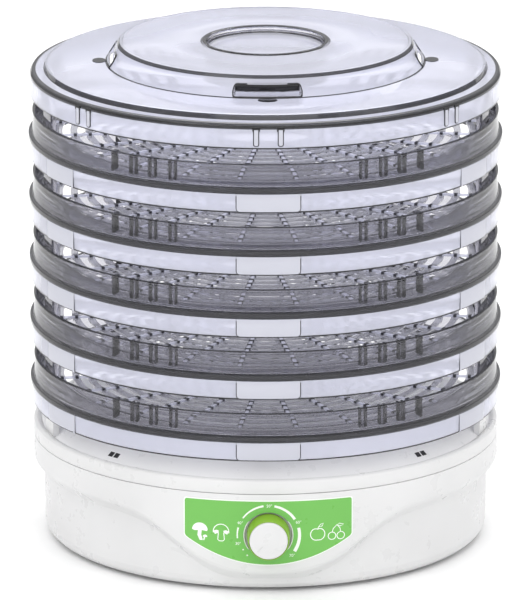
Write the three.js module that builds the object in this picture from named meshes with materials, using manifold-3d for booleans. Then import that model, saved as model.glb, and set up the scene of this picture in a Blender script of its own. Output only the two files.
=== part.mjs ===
// Food dehydrator: a white fan-and-heater base, five clear ring trays stacked on it and a clear vented lid.
// Millimetres, +Z up, -Y is the front with the control panel. The floor is z = 0.
import * as THREE from "three";
import { mergeVertices } from "three/addons/utils/BufferGeometryUtils.js";
import Module from "manifold-3d";

const wasm = await Module();
wasm.setup();

// ---- Driving dimensions ----
const GAP = 0.3; // clearance between neighbouring pieces
const ROUND = 40; // facets round a large circle
const MEDIUM_ROUND = 24; // facets round the knob, the motor and the outlet
const SMALL_ROUND = 12; // facets round a screw or a hole

const TRAY_COUNT = 5;
const TRAY_PITCH = 43.6; // from one tray to the next in the high setting
const FIRST_FLANGE_Z = 110.2; // underside of the lowest tray's flange
const FLANGE_RADIUS = 164.2; // the widest ring of a tray
const FLANGE_HEIGHT = 3.6;
const RING_HEIGHT = 19.6; // rim above the flange's underside
const RIM_RADIUS = 160.9;
const RING_WALL = 1.8;
const SKIRT_RADIUS = 162.6;
const SKIRT_DROP = 13.8;
const SKIRT_WALL = 1.4;
const LEDGE_RADIUS = 151; // where the ring's border ends and the floor grid starts
const LEDGE_LIP_RADIUS = 148.4; // lip under the grid's edge
const FLOOR_BOTTOM = 2;
const FLOOR_TOP = 4.6;
const RIB_COUNT = 24;
const RIB_WIDTH = 2.4;
const GRID_EDGE_WIDTH = 3;
const HUB_INNER = 30; // hole in the middle of a tray
const HUB_OUTER = 34;
const COLUMN_ANGLES = [-73, 73, -107, 107]; // degrees from the front
const COLUMN_HALF_ANGLE = 3.3;
const COLUMN_RADII = [153.4, 157.6];

const LID_RADIUS = 162.8;
const LID_WALL = 1.8;
const LID_SKIRT_Z = 315.2;
const LID_EDGE_Z = 332.6;
const LID_RING_RADIUS = 152.2;
const LID_RING_Z = 336.6;
const CONE_FOOT_RADIUS = 110.5;
const PLATEAU_RADIUS = 101;
const PLATEAU_Z = 351.8;
const WELL_RADIUS = 42.2;
const WELL_DEPTH = 6;
const COLLAR_BOTTOM_Z = 328.2;
const VENT_ANGLES = [0, 90, 180, 270];
const VENT_WIDTHS = [46, 39]; // at the foot and at the top of a vent
const VENT_HEIGHTS = [338.6, 346.4];

const BODY_RADIUS = 154.8; // lower part of the base
const BAND_RADIUS = 162.2; // upper part of the base
const BASE_WALL = 2.4;
const SHELL_BOTTOM = 3;
const SEAM_Z = 73; // joint of lower shell and top cover
const LIP_Z = 83;
const DECK_Z = 92.6;
const DECK_RADIUS = 139; // flat part of the top cover
const OUTLET_RADIUS = 63;
const OUTLET_BOTTOM = 58;
const CATCH_ANGLES = [-44.2, 44.2];
const CATCH_RADII = [148.5, 152.5];
const CATCH_HALF_ANGLE = 1.3;
const PLATE_RADIUS = 146.7;
const PLATE_TOP = 5.4;
// Height of the band's lower edge: level at the sides, dipping under the control panel.
const EDGE_SIDE_Z = 55;
const EDGE_DIP = 38.5;
const DIP_ANGLE = 25.5;
const DIP_SHARPNESS = 3.2;

const BOSS_ANGLES = [45, 135, 225, 315];
const BOSS_CIRCLE = 141;
const BOSS_RADIUS = 5;
const SCREW_RADIUS = 1.8;
const FOOT_ANGLES = [30, 150, 210, 330];
const FOOT_CIRCLE = 118;
const FOOT_RADIUS = 10;
const FOOT_STEM_RADIUS = 3;
const INLET_Z = 20; // cord inlet at the back
const INLET_RADIUS = 5.6;

const PANEL_HALF_ANGLE = 20.5;
const PANEL_TOP = 67.9;
const PANEL_SIDE_Z = 41.4;
const PANEL_BOTTOM_Z = 23.1;
const PANEL_THICKNESS = 1.1;
const DIAL_Z = 43.8;
const DIAL_RADIUS = 17;
const KNOB_RADIUS = 14.8;
const KNOB_FACE_RADIUS = 12.9;
const KNOB_REACH = 175.2; // knob face from the tower's axis
const SHAFT_RADIUS = 3;

const MOTOR_RADIUS = 32;
const MOTOR_HEIGHTS = [24, 50];
const FAN_RADIUS = 56;
const FAN_HEIGHTS = [60, 72];
const BLADE_COUNT = 7;
const BRACKET_X = 58;
const COIL_RADIUS = 42;
const COIL_WIRE_RADIUS = 2.4;
const FUSE_RADIUS = 2.2;
const WIRE_RADIUS = 1.2;
const WIRE_FINISH = { wire_live: "brownWire", wire_neutral: "blueWire", wire_heater: "whiteWire" };
const WIRE_ROUTES = {
  wire_live: [
    [8, 117.4, 12],
    [8, 112, 12],
    [30, 98, 9.5],
    [84, 60, 9.5],
    [100, 0, 9.5],
    [80, -80, 14],
    [30, -118, 26],
    [10, -130, 33],
    [10, -135.5, 33],
  ],
  wire_neutral: [
    [-8, 117.4, 12],
    [-8, 112, 12],
    [-40, 66, 14],
    [-32, 32, 33],
    [-23.8, 23.8, 34],
  ],
  wire_heater: [
    [-8, -135.5, 46],
    [-8, -118, 46],
    [-4, -82, 46],
    [0, -62, 54],
    [0, -60.2, 66],
    [0, -60, 74.5],
  ],
};

// The knob stands out at the front only, so the tower's axis lies behind the middle of the footprint.
const AXIS_Y = (KNOB_REACH - FLANGE_RADIUS) / 2;

// ---- Materials ----
const finishes = {
  smoky: { color: 0xc9c9d6, roughness: 0.12, metalness: 0, opacity: 0.45, transparent: true },
  white: { color: 0xf4f4f1, roughness: 0.3, metalness: 0 },
  green: { color: 0x72c651, roughness: 0.35, metalness: 0 },
  knobGreen: { color: 0x86b62c, roughness: 0.3, metalness: 0 },
  rubber: { color: 0x3a3a3c, roughness: 0.85, metalness: 0 },
  steel: { color: 0xb9bbbe, roughness: 0.4, metalness: 0.9 },
  copper: { color: 0xb0703a, roughness: 0.4, metalness: 0.9 },
  black: { color: 0x232325, roughness: 0.55, metalness: 0 },
  mica: { color: 0xb9a98c, roughness: 0.7, metalness: 0 },
  brownWire: { color: 0x6b3a1e, roughness: 0.5, metalness: 0 },
  blueWire: { color: 0x2450a8, roughness: 0.5, metalness: 0 },
  whiteWire: { color: 0xe8e6e0, roughness: 0.6, metalness: 0 },
};

const tower = new THREE.Group();
tower.position.y = AXIS_Y;

// ---- Solids and their joining ----
const radians = THREE.MathUtils.degToRad;

function solid(geometry) {
  const bare = geometry.clone();
  bare.deleteAttribute("normal");
  bare.deleteAttribute("uv");
  const merged = mergeVertices(bare, 1e-4);
  const triVerts = new Uint32Array(merged.index.array);
  const vertProperties = new Float32Array(merged.attributes.position.array);
  const made = new wasm.Manifold(new wasm.Mesh({ numProp: 3, vertProperties, triVerts }));
  if (made.volume() > 0) return made;
  for (let i = 0; i < triVerts.length; i += 3) {
    [triVerts[i + 1], triVerts[i + 2]] = [triVerts[i + 2], triVerts[i + 1]];
  }
  return new wasm.Manifold(new wasm.Mesh({ numProp: 3, vertProperties, triVerts }));
}

function join(pieces) {
  return pieces.reduce((whole, piece) => whole.add(piece));
}

function cut(body, tools) {
  return tools.reduce((left, tool) => left.subtract(tool), body);
}

function geometryOf(body) {
  const mesh = body.getMesh();
  const geometry = new THREE.BufferGeometry();
  geometry.setAttribute("position", new THREE.BufferAttribute(mesh.vertProperties, 3));
  geometry.setIndex(new THREE.BufferAttribute(mesh.triVerts, 1));
  geometry.computeVertexNormals();
  return geometry;
}

function place(name, body, finish, position = [0, 0, 0]) {
  const mesh = new THREE.Mesh(geometryOf(body), new THREE.MeshStandardMaterial(finishes[finish]));
  mesh.name = name;
  mesh.position.set(...position);
  tower.add(mesh);
}

// A solid of revolution about +Z from [radius, z] points.
function turned(points, facets = ROUND, closed = true) {
  const loop = points.map(([radius, z]) => new THREE.Vector2(radius, z));
  if (closed) loop.push(loop[0].clone());
  return solid(new THREE.LatheGeometry(loop, facets).rotateX(Math.PI / 2));
}

function disc(radius, bottom, top, facets = SMALL_ROUND, x = 0, y = 0) {
  const geometry = new THREE.CylinderGeometry(radius, radius, top - bottom, facets);
  return solid(geometry.rotateX(Math.PI / 2).translate(x, y, (top + bottom) / 2));
}

// A cylinder along Y from one y to another, at height z.
function rodY(radius, from, to, z, facets = SMALL_ROUND) {
  const geometry = new THREE.CylinderGeometry(radius, radius, to - from, facets);
  return solid(geometry.translate(0, (from + to) / 2, z));
}

function block(low, high, turn = 0) {
  const size = high.map((value, i) => value - low[i]);
  const middle = high.map((value, i) => (value + low[i]) / 2);
  const geometry = new THREE.BoxGeometry(...size).translate(...middle);
  return solid(geometry.rotateZ(radians(turn)));
}

// The x and y of a point at a radius, at an angle from the front, positive towards +X.
function around(radius, angle) {
  return [radius * Math.sin(radians(angle)), -radius * Math.cos(radians(angle))];
}

// A solid swept round the axis whose section may change with the angle.
// sectionAt gives the same number of [radius, z] points at each angle.
function swept(angles, sectionAt, full = false) {
  const sections = angles.map((angle) =>
    sectionAt(angle).map(([radius, z]) => [...around(radius, angle), z]),
  );
  const count = sections[0].length;
  const index = [];
  const spans = full ? sections.length : sections.length - 1;
  for (let i = 0; i < spans; i++) {
    const here = i * count;
    const next = ((i + 1) % sections.length) * count;
    for (let j = 0; j < count; j++) {
      const k = (j + 1) % count;
      index.push(here + j, next + j, next + k, here + j, next + k, here + k);
    }
  }
  if (!full) {
    const outline = sectionAt(angles[0]).map(([radius, z]) => new THREE.Vector2(radius, z));
    const last = (sections.length - 1) * count;
    for (const [a, b, c] of THREE.ShapeUtils.triangulateShape(outline, [])) {
      index.push(a, b, c, last + a, last + c, last + b);
    }
  }
  const geometry = new THREE.BufferGeometry();
  geometry.setAttribute("position", new THREE.Float32BufferAttribute(sections.flat(2), 3));
  geometry.setIndex(index);
  return solid(geometry);
}

function steps(from, to, count) {
  return Array.from({ length: count + 1 }, (_, i) => from + ((to - from) * i) / count);
}

// A curved block between two radii, two heights and two angles.
function curvedBlock(radii, heights, angle, halfAngle, parts = 1) {
  const [inner, outer] = radii;
  const [bottom, top] = heights;
  const section = [
    [inner, bottom],
    [outer, bottom],
    [outer, top],
    [inner, top],
  ];
  return swept(steps(angle - halfAngle, angle + halfAngle, parts), () => section);
}

// ---- Trays ----
function trayRing() {
  const skirtInner = SKIRT_RADIUS - SKIRT_WALL;
  return turned([
    [RIM_RADIUS - RING_WALL, RING_HEIGHT],
    [RIM_RADIUS, RING_HEIGHT],
    [RIM_RADIUS + 0.9, FLANGE_HEIGHT],
    [FLANGE_RADIUS, FLANGE_HEIGHT - 0.4],
    [FLANGE_RADIUS, 0],
    [SKIRT_RADIUS, -SKIRT_DROP],
    [skirtInner, -SKIRT_DROP],
    [skirtInner, 0],
    [LEDGE_LIP_RADIUS, 0],
    [LEDGE_LIP_RADIUS, FLOOR_BOTTOM - GAP],
    [LEDGE_RADIUS, FLOOR_BOTTOM - GAP],
    [LEDGE_RADIUS, FLOOR_TOP],
    [RIM_RADIUS - RING_WALL, FLOOR_TOP],
  ]);
}

function gridRing(inner, outer, facets) {
  const section = [
    [inner, FLOOR_BOTTOM],
    [outer, FLOOR_BOTTOM],
    [outer, FLOOR_TOP],
    [inner, FLOOR_TOP],
  ];
  return turned(section, facets);
}

function trayGrid() {
  const edge = LEDGE_RADIUS - GAP;
  const ribs = [];
  for (let i = 0; i < RIB_COUNT; i++) {
    const low = [HUB_OUTER - 2, -RIB_WIDTH / 2, FLOOR_BOTTOM];
    const high = [edge - GRID_EDGE_WIDTH / 2, RIB_WIDTH / 2, FLOOR_TOP];
    ribs.push(block(low, high, ((i + 0.5) * 360) / RIB_COUNT));
  }
  const hub = gridRing(HUB_INNER, HUB_OUTER, RIB_COUNT);
  return join([hub, gridRing(edge - GRID_EDGE_WIDTH, edge, ROUND), ...ribs]);
}

function trayColumns(bottom, top) {
  return COLUMN_ANGLES.map((angle) => curvedBlock(COLUMN_RADII, [bottom, top], angle, COLUMN_HALF_ANGLE));
}

function addTrays() {
  const ring = join([trayRing(), ...trayColumns(FLOOR_TOP - 1, TRAY_PITCH - GAP)]);
  const grid = trayGrid();
  for (let i = 0; i < TRAY_COUNT; i++) {
    const position = [0, 0, FIRST_FLANGE_Z + i * TRAY_PITCH];
    place(`tray_${i + 1}_ring`, ring, "smoky", position);
    place(`tray_${i + 1}_grid`, grid, "smoky", position);
  }
}

// ---- Lid ----
function lidShell() {
  const inner = LID_RADIUS - LID_WALL;
  const wellInner = WELL_RADIUS - LID_WALL;
  const wellFloor = PLATEAU_Z - WELL_DEPTH;
  return turned(
    [
      [0, wellFloor],
      [wellInner, wellFloor],
      [wellInner, PLATEAU_Z],
      [PLATEAU_RADIUS, PLATEAU_Z],
      [CONE_FOOT_RADIUS, LID_RING_Z],
      [LID_RING_RADIUS, LID_RING_Z],
      [LID_RING_RADIUS + 1, LID_EDGE_Z],
      [LID_RADIUS - 2.2, LID_EDGE_Z],
      [LID_RADIUS, LID_EDGE_Z - 1.6],
      [LID_RADIUS, LID_SKIRT_Z],
      [inner, LID_SKIRT_Z],
      [inner, LID_EDGE_Z - LID_WALL],
      [LID_RING_RADIUS - 1, LID_EDGE_Z - LID_WALL],
      [LID_RING_RADIUS - 2, LID_RING_Z - LID_WALL],
      [CONE_FOOT_RADIUS - 1.6, LID_RING_Z - LID_WALL],
      [PLATEAU_RADIUS - 1.6, PLATEAU_Z - LID_WALL],
      [WELL_RADIUS, PLATEAU_Z - LID_WALL],
      [WELL_RADIUS, COLLAR_BOTTOM_Z],
      [wellInner, COLLAR_BOTTOM_Z],
      [wellInner, wellFloor - LID_WALL],
      [0, wellFloor - LID_WALL],
    ],
    ROUND,
    false,
  );
}

// A vent's cutter: a prism through the cone, narrower at the top.
function ventCutter(angle) {
  const [foot, top] = VENT_WIDTHS.map((width) => width / 2);
  const [low, high] = VENT_HEIGHTS;
  const outline = new THREE.Shape([
    new THREE.Vector2(-foot, low),
    new THREE.Vector2(foot, low),
    new THREE.Vector2(foot, (low + high) / 2),
    new THREE.Vector2(top, high),
    new THREE.Vector2(-top, high),
    new THREE.Vector2(-foot, (low + high) / 2),
  ]);
  const geometry = new THREE.ExtrudeGeometry(outline, { depth: 24, bevelEnabled: false });
  geometry.rotateX(Math.PI / 2).translate(0, -CONE_FOOT_RADIUS + 18, 0);
  return solid(geometry.rotateZ(radians(angle)));
}

// Pads under the lid that stand on the top tray's columns.
function lidPads() {
  const columnTop = FIRST_FLANGE_Z + TRAY_COUNT * TRAY_PITCH;
  const heights = [columnTop, LID_EDGE_Z - 1];
  return COLUMN_ANGLES.map((angle) => curvedBlock(COLUMN_RADII, heights, angle, COLUMN_HALF_ANGLE));
}

function addLid() {
  const shell = join([lidShell(), ...lidPads()]);
  place("lid", cut(shell, VENT_ANGLES.map(ventCutter)), "smoky");
}

// ---- Base housing ----
function bandEdge(angle) {
  const share = Math.abs(angle) / DIP_ANGLE;
  return EDGE_SIDE_Z - EDGE_DIP * Math.exp(-Math.pow(share, DIP_SHARPNESS));
}

function shellSection(angle) {
  const edge = bandEdge(angle > 180 ? angle - 360 : angle);
  const body = BODY_RADIUS - BASE_WALL;
  const band = BAND_RADIUS - BASE_WALL;
  const lowest = SHELL_BOTTOM + 8;
  return [
    [PLATE_RADIUS + GAP, SHELL_BOTTOM],
    [BODY_RADIUS - 4.2, SHELL_BOTTOM + 0.4],
    [BODY_RADIUS - 1.2, SHELL_BOTTOM + 3.2],
    [BODY_RADIUS - 0.2, lowest - 0.4],
    [BODY_RADIUS, Math.max(edge - 7, lowest)],
    [BAND_RADIUS - 0.8, edge],
    [BAND_RADIUS, edge + 1.2],
    [BAND_RADIUS, SEAM_Z - GAP],
    [band, SEAM_Z - GAP],
    [band, edge + 3.4],
    [body, Math.max(edge - 4.4, lowest + 2.4)],
    [body, lowest],
    [BODY_RADIUS - 4.6, PLATE_TOP + 0.6],
    [PLATE_RADIUS + GAP, PLATE_TOP + 0.6],
  ];
}

// Heights of the panel's lower edge: two corners joined by an arc.
function panelBottom(angle) {
  const share = angle / PANEL_HALF_ANGLE;
  return PANEL_SIDE_Z - (PANEL_SIDE_Z - PANEL_BOTTOM_Z) * (1 - share * share);
}

function panelSlab(grow, innerRadius, outerRadius) {
  const half = PANEL_HALF_ANGLE + (grow / BAND_RADIUS) * (180 / Math.PI);
  return swept(steps(-half, half, 16), (angle) => {
    const limited = THREE.MathUtils.clamp(angle, -PANEL_HALF_ANGLE, PANEL_HALF_ANGLE);
    const bottom = panelBottom(limited) - grow;
    return [
      [innerRadius, bottom],
      [outerRadius, bottom],
      [outerRadius, PANEL_TOP + grow],
      [innerRadius, PANEL_TOP + grow],
    ];
  });
}

function screwBoss(angle) {
  const post = disc(BOSS_RADIUS, PLATE_TOP + GAP, 26, SMALL_ROUND, ...around(BOSS_CIRCLE, angle));
  const web = block([BOSS_CIRCLE, -1.2, 9], [BODY_RADIUS - 1, 1.2, 24], angle - 90);
  return join([post, web]);
}

function screwHoles(top) {
  const radius = SCREW_RADIUS + GAP;
  return BOSS_ANGLES.map((angle) => disc(radius, 0, top, SMALL_ROUND, ...around(BOSS_CIRCLE, angle)));
}

function addLowerShell() {
  const angles = steps(0, 360, ROUND).slice(0, -1);
  const wall = swept(angles, shellSection, true);
  const dialFloor = rodY(DIAL_RADIUS + 2.4, -BAND_RADIUS + 1.6, -BAND_RADIUS + 6, DIAL_Z, MEDIUM_ROUND);
  const body = join([wall, dialFloor, ...BOSS_ANGLES.map(screwBoss)]);
  const tools = [
    panelSlab(GAP, BAND_RADIUS - PANEL_THICKNESS, BAND_RADIUS + 5),
    rodY(DIAL_RADIUS, -BAND_RADIUS - 5, -BAND_RADIUS + 3.6, DIAL_Z, MEDIUM_ROUND),
    rodY(SHAFT_RADIUS + 1.4, -BAND_RADIUS, -BAND_RADIUS + 12, DIAL_Z),
    rodY(INLET_RADIUS, BODY_RADIUS - 8, BODY_RADIUS + 4, INLET_Z),
    ...screwHoles(18),
  ];
  place("lower_shell", cut(body, tools), "white");
}

function addTopCover() {
  const band = BAND_RADIUS - BASE_WALL - GAP;
  const cover = turned([
    [BAND_RADIUS, SEAM_Z],
    [BAND_RADIUS, LIP_Z - 1.8],
    [BAND_RADIUS - 1.4, LIP_Z],
    [BAND_RADIUS - 3.6, LIP_Z],
    [BAND_RADIUS - 5, LIP_Z - 1.4],
    [BAND_RADIUS - 6.4, LIP_Z - 0.8],
    [DECK_RADIUS + 3.5, DECK_Z - 1.4],
    [DECK_RADIUS, DECK_Z],
    [OUTLET_RADIUS, DECK_Z],
    [OUTLET_RADIUS, OUTLET_BOTTOM],
    [OUTLET_RADIUS + 2.2, OUTLET_BOTTOM],
    [OUTLET_RADIUS + 2.2, DECK_Z - 2.4],
    [DECK_RADIUS - 1, DECK_Z - 2.4],
    [DECK_RADIUS + 2, DECK_Z - 3.6],
    [154.4, LIP_Z - 3.4],
    [band - 2.2, LIP_Z - 4.4],
    [band - 2.2, SEAM_Z - 4],
    [band, SEAM_Z - 4],
    [band, SEAM_Z],
  ]);
  const supports = trayColumns(LIP_Z - 2, FIRST_FLANGE_Z - GAP);
  const catches = CATCH_ANGLES.map((angle) => {
    return curvedBlock(CATCH_RADII, [SEAM_Z, DECK_Z + 2], angle, CATCH_HALF_ANGLE);
  });
  place("top_cover", cut(join([cover, ...supports]), catches), "white");
}

function plateSlots(inner, outer, width, count, heights) {
  return Array.from({ length: count }, (_, i) => {
    const low = [inner, -width / 2, heights[0]];
    const high = [outer, width / 2, heights[1]];
    return block(low, high, ((i + 0.5) * 360) / count);
  });
}

function addBottomPlate() {
  const plate = disc(PLATE_RADIUS, SHELL_BOTTOM, PLATE_TOP, ROUND);
  const holes = [
    ...plateSlots(22, 56, 5, 16, [0, 10]),
    ...screwHoles(10),
    ...FOOT_ANGLES.map((angle) => disc(FOOT_STEM_RADIUS, 0, 10, SMALL_ROUND, ...around(FOOT_CIRCLE, angle))),
  ];
  place("bottom_plate", cut(plate, holes), "white");
}

function addFeet() {
  FOOT_ANGLES.forEach((angle, i) => {
    const [x, y] = around(FOOT_CIRCLE, angle);
    const pad = disc(FOOT_RADIUS, 0, SHELL_BOTTOM - GAP, SMALL_ROUND);
    const stem = disc(FOOT_STEM_RADIUS - GAP, SHELL_BOTTOM - 1, PLATE_TOP + 2);
    place(`rubber_foot_${i + 1}`, join([pad, stem]), "rubber", [x, y, 0]);
  });
}

function addBaseScrews() {
  BOSS_ANGLES.forEach((angle, i) => {
    const [x, y] = around(BOSS_CIRCLE, angle);
    const head = disc(2 * SCREW_RADIUS, 1, SHELL_BOTTOM - GAP);
    const shank = disc(SCREW_RADIUS, 1.5, 16);
    place(`base_screw_${i + 1}`, join([head, shank]), "steel", [x, y, 0]);
  });
}

function addOutletGrille() {
  const rim = OUTLET_RADIUS - GAP;
  const plate = turned(
    [
      [0, DECK_Z + 1.4],
      [18, DECK_Z + 1.4],
      [rim, DECK_Z],
      [rim, DECK_Z - 8],
      [rim - 2, DECK_Z - 8],
      [rim - 2, DECK_Z - 1.8],
      [18, DECK_Z - 0.8],
      [0, DECK_Z - 0.8],
    ],
    MEDIUM_ROUND,
    false,
  );
  place("outlet_grille", cut(plate, plateSlots(20, 56, 5, 16, [70, 110])), "white");
}

// ---- Controls ----
function addPanel() {
  const slab = panelSlab(0, BAND_RADIUS - PANEL_THICKNESS + GAP, BAND_RADIUS);
  const hole = rodY(DIAL_RADIUS, -BAND_RADIUS - 5, -BAND_RADIUS + 8, DIAL_Z, MEDIUM_ROUND);
  place("control_panel", slab.subtract(hole), "green");
}

function turnedY(points, facets, closed = true) {
  const loop = points.map(([radius, y]) => new THREE.Vector2(radius, y));
  if (closed) loop.push(loop[0].clone());
  return solid(new THREE.LatheGeometry(loop, facets));
}

function addKnob() {
  const back = -BAND_RADIUS + 3.2;
  const face = -KNOB_REACH;
  const body = turnedY(
    [
      [SHAFT_RADIUS + GAP, back],
      [KNOB_RADIUS, back],
      [KNOB_RADIUS, back - 2],
      [KNOB_FACE_RADIUS, face + 0.8],
      [KNOB_FACE_RADIUS - 0.5, face],
      [KNOB_FACE_RADIUS - 0.7, face + 1.4],
      [0, face + 1.4],
      [0, face + 4],
      [SHAFT_RADIUS + GAP, face + 4],
    ],
    MEDIUM_ROUND,
  );
  const cap = turnedY(
    [
      [0, face + 1.1],
      [KNOB_FACE_RADIUS - 1, face + 1.1],
      [KNOB_FACE_RADIUS - 1, face + 0.3],
      [KNOB_FACE_RADIUS - 1.6, face],
      [0, face],
    ],
    MEDIUM_ROUND,
    false,
  );
  place("knob", body, "knobGreen", [0, 0, DIAL_Z]);
  place("knob_cap", cap, "white", [0, 0, DIAL_Z]);
}

function addThermostat() {
  const front = -BAND_RADIUS + 6 + GAP;
  const shell = block([-16, front, DIAL_Z - 13], [16, front + 20, DIAL_Z + 13]);
  const bore = rodY(SHAFT_RADIUS + GAP, front - 1, front + 12, DIAL_Z);
  place("thermostat_body", shell.subtract(bore), "black");
  const shaft = rodY(SHAFT_RADIUS, -KNOB_REACH + 4 + GAP, front + 12 - GAP, 0);
  place("thermostat_shaft", shaft, "steel", [0, 0, DIAL_Z]);
}

// ---- Fan and heater ----
function addMotor() {
  const [bottom, top] = MOTOR_HEIGHTS;
  const can = turned(
    [
      [SHAFT_RADIUS + GAP, bottom],
      [MOTOR_RADIUS - 2, bottom],
      [MOTOR_RADIUS, bottom + 2],
      [MOTOR_RADIUS, top - 2],
      [MOTOR_RADIUS - 2, top],
      [9, top],
      [9, top + 4],
      [SHAFT_RADIUS + GAP, top + 4],
    ],
    MEDIUM_ROUND,
  );
  place("fan_motor", can, "steel");
  place("motor_shaft", disc(SHAFT_RADIUS, bottom + 1, FAN_HEIGHTS[1] - 2), "steel");
}

function addMotorBracket() {
  const seat = MOTOR_HEIGHTS[0] - GAP;
  const foot = PLATE_TOP + GAP;
  const bar = block([-BRACKET_X, -11, seat - 2], [BRACKET_X, 11, seat]);
  const legs = [-1, 1].map((side) => {
    const inner = side * (BRACKET_X - 2);
    const outer = side * BRACKET_X;
    return block([Math.min(inner, outer), -11, foot], [Math.max(inner, outer), 11, seat]);
  });
  const toes = [-1, 1].map((side) => {
    const near = side * (BRACKET_X - 1);
    const far = side * (BRACKET_X + 14);
    return block([Math.min(near, far), -11, foot], [Math.max(near, far), 11, foot + 2]);
  });
  const holes = [-1, 1].map((side) => disc(2.4, 0, 20, SMALL_ROUND, side * (BRACKET_X + 7)));
  place("motor_bracket", cut(join([bar, ...legs, ...toes]), holes), "steel");
  [-1, 1].forEach((side, i) => {
    const shank = disc(2, foot + GAP, foot + 3.2);
    const head = disc(4, foot + 2 + GAP, foot + 4.6);
    place(`bracket_screw_${i + 1}`, join([shank, head]), "steel", [side * (BRACKET_X + 7), 0, 0]);
  });
}

function fanBlade(index) {
  const [bottom, top] = FAN_HEIGHTS;
  const blade = new THREE.BoxGeometry(FAN_RADIUS - 13, 22, 1.6);
  blade.rotateX(radians(24)).translate((FAN_RADIUS + 13) / 2, 0, (bottom + top) / 2);
  return solid(blade.rotateZ((index * 2 * Math.PI) / BLADE_COUNT));
}

function addImpeller() {
  const [bottom, top] = FAN_HEIGHTS;
  const hub = turned(
    [
      [0, top],
      [13, top],
      [15, top - 2],
      [15, bottom],
      [SHAFT_RADIUS + GAP, bottom],
      [SHAFT_RADIUS + GAP, top - 2 + GAP],
      [0, top - 2 + GAP],
    ],
    MEDIUM_ROUND,
    false,
  );
  const blades = Array.from({ length: BLADE_COUNT }, (_, i) => fanBlade(i));
  place("fan_impeller", join([hub, ...blades]), "black");
}

function addHeater() {
  const carrier = turned(
    [
      [56, 75],
      [OUTLET_RADIUS - GAP, 75],
      [OUTLET_RADIUS - GAP, 77],
      [58, 77],
      [58, 83],
      [56, 83],
    ],
    MEDIUM_ROUND,
  );
  const cards = [0, 90].map((turn) => block([-57, -0.8, 76], [57, 0.8, 82], turn));
  place("heater_carrier", join([carrier, ...cards]), "mica");
  const coil = new THREE.TorusGeometry(COIL_RADIUS, COIL_WIRE_RADIUS, 6, MEDIUM_ROUND);
  place("heater_coil", solid(coil), "copper", [0, 0, 82 + GAP + COIL_WIRE_RADIUS]);
  place("thermal_fuse", rodY(FUSE_RADIUS, 12, 30, 0), "steel", [0.8 + GAP + FUSE_RADIUS, 0, 79]);
}

// ---- Mains side ----
function addMains() {
  const grommet = turnedY(
    [
      [3.4, BODY_RADIUS - 6],
      [8, BODY_RADIUS - 6],
      [8, BODY_RADIUS - 3.6],
      [INLET_RADIUS - GAP, BODY_RADIUS - 3.6],
      [INLET_RADIUS - GAP, BODY_RADIUS + 0.5],
      [8, BODY_RADIUS + 0.5],
      [7, BODY_RADIUS + 4],
      [3.4, BODY_RADIUS + 4],
    ],
    SMALL_ROUND,
  );
  place("cord_inlet", grommet, "rubber", [0, 0, INLET_Z]);
  const terminals = block([-14, 118, PLATE_TOP + GAP], [14, 130, PLATE_TOP + 12]);
  place("terminal_block", terminals, "black");
}

function addWires() {
  const section = Array.from({ length: 6 }, (_, i) => {
    const turn = (i * Math.PI) / 3;
    return new THREE.Vector2(WIRE_RADIUS * Math.cos(turn), WIRE_RADIUS * Math.sin(turn));
  });
  for (const [name, route] of Object.entries(WIRE_ROUTES)) {
    const path = new THREE.CatmullRomCurve3(route.map((point) => new THREE.Vector3(...point)));
    const options = { steps: 16, extrudePath: path, bevelEnabled: false };
    place(name, solid(new THREE.ExtrudeGeometry(new THREE.Shape(section), options)), WIRE_FINISH[name]);
  }
}

addTrays();
addLid();
addLowerShell();
addTopCover();
addBottomPlate();
addFeet();
addBaseScrews();
addOutletGrille();
addPanel();
addKnob();
addThermostat();
addMotor();
addMotorBracket();
addImpeller();
addHeater();
addMains();
addWires();

const dehydrator = new THREE.Group();
dehydrator.add(tower);
export default dehydrator;
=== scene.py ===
"""Food dehydrator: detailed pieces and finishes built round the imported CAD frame."""

import math

import bmesh
import bpy
from bpy.props import FloatProperty, FloatVectorProperty, IntProperty, PointerProperty
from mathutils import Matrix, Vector
from mathutils.geometry import tessellate_polygon


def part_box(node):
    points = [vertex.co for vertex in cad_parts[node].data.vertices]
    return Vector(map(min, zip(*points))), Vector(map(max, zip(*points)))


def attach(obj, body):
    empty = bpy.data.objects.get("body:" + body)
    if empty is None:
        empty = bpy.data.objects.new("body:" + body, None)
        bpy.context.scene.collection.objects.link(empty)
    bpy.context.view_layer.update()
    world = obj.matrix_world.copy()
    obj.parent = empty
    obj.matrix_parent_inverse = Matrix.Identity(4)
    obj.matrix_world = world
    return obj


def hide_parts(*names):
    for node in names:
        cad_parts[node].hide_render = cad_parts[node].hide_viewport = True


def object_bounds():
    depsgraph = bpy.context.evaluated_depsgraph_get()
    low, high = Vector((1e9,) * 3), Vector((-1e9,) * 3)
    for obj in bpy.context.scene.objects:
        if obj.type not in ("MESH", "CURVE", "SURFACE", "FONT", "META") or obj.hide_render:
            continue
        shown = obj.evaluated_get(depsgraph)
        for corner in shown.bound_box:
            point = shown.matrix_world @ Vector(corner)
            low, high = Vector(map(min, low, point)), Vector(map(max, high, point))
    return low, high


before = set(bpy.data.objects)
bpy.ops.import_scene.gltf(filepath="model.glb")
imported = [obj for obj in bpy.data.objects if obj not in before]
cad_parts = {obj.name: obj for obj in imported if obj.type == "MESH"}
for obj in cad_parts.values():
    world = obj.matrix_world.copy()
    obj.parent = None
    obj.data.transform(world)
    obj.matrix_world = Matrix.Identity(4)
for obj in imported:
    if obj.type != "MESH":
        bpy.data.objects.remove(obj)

bl_info = {
    "name": "Food Dehydrator",
    "version": (1, 0, 0),
    "blender": (4, 5, 0),
    "location": "3D View > Sidebar > Dehydrator",
    "description": "Builds a stacked food dehydrator round its CAD frame",
    "category": "Object",
}

CAD_LOW, CAD_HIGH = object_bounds()
MM = 0.001

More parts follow.
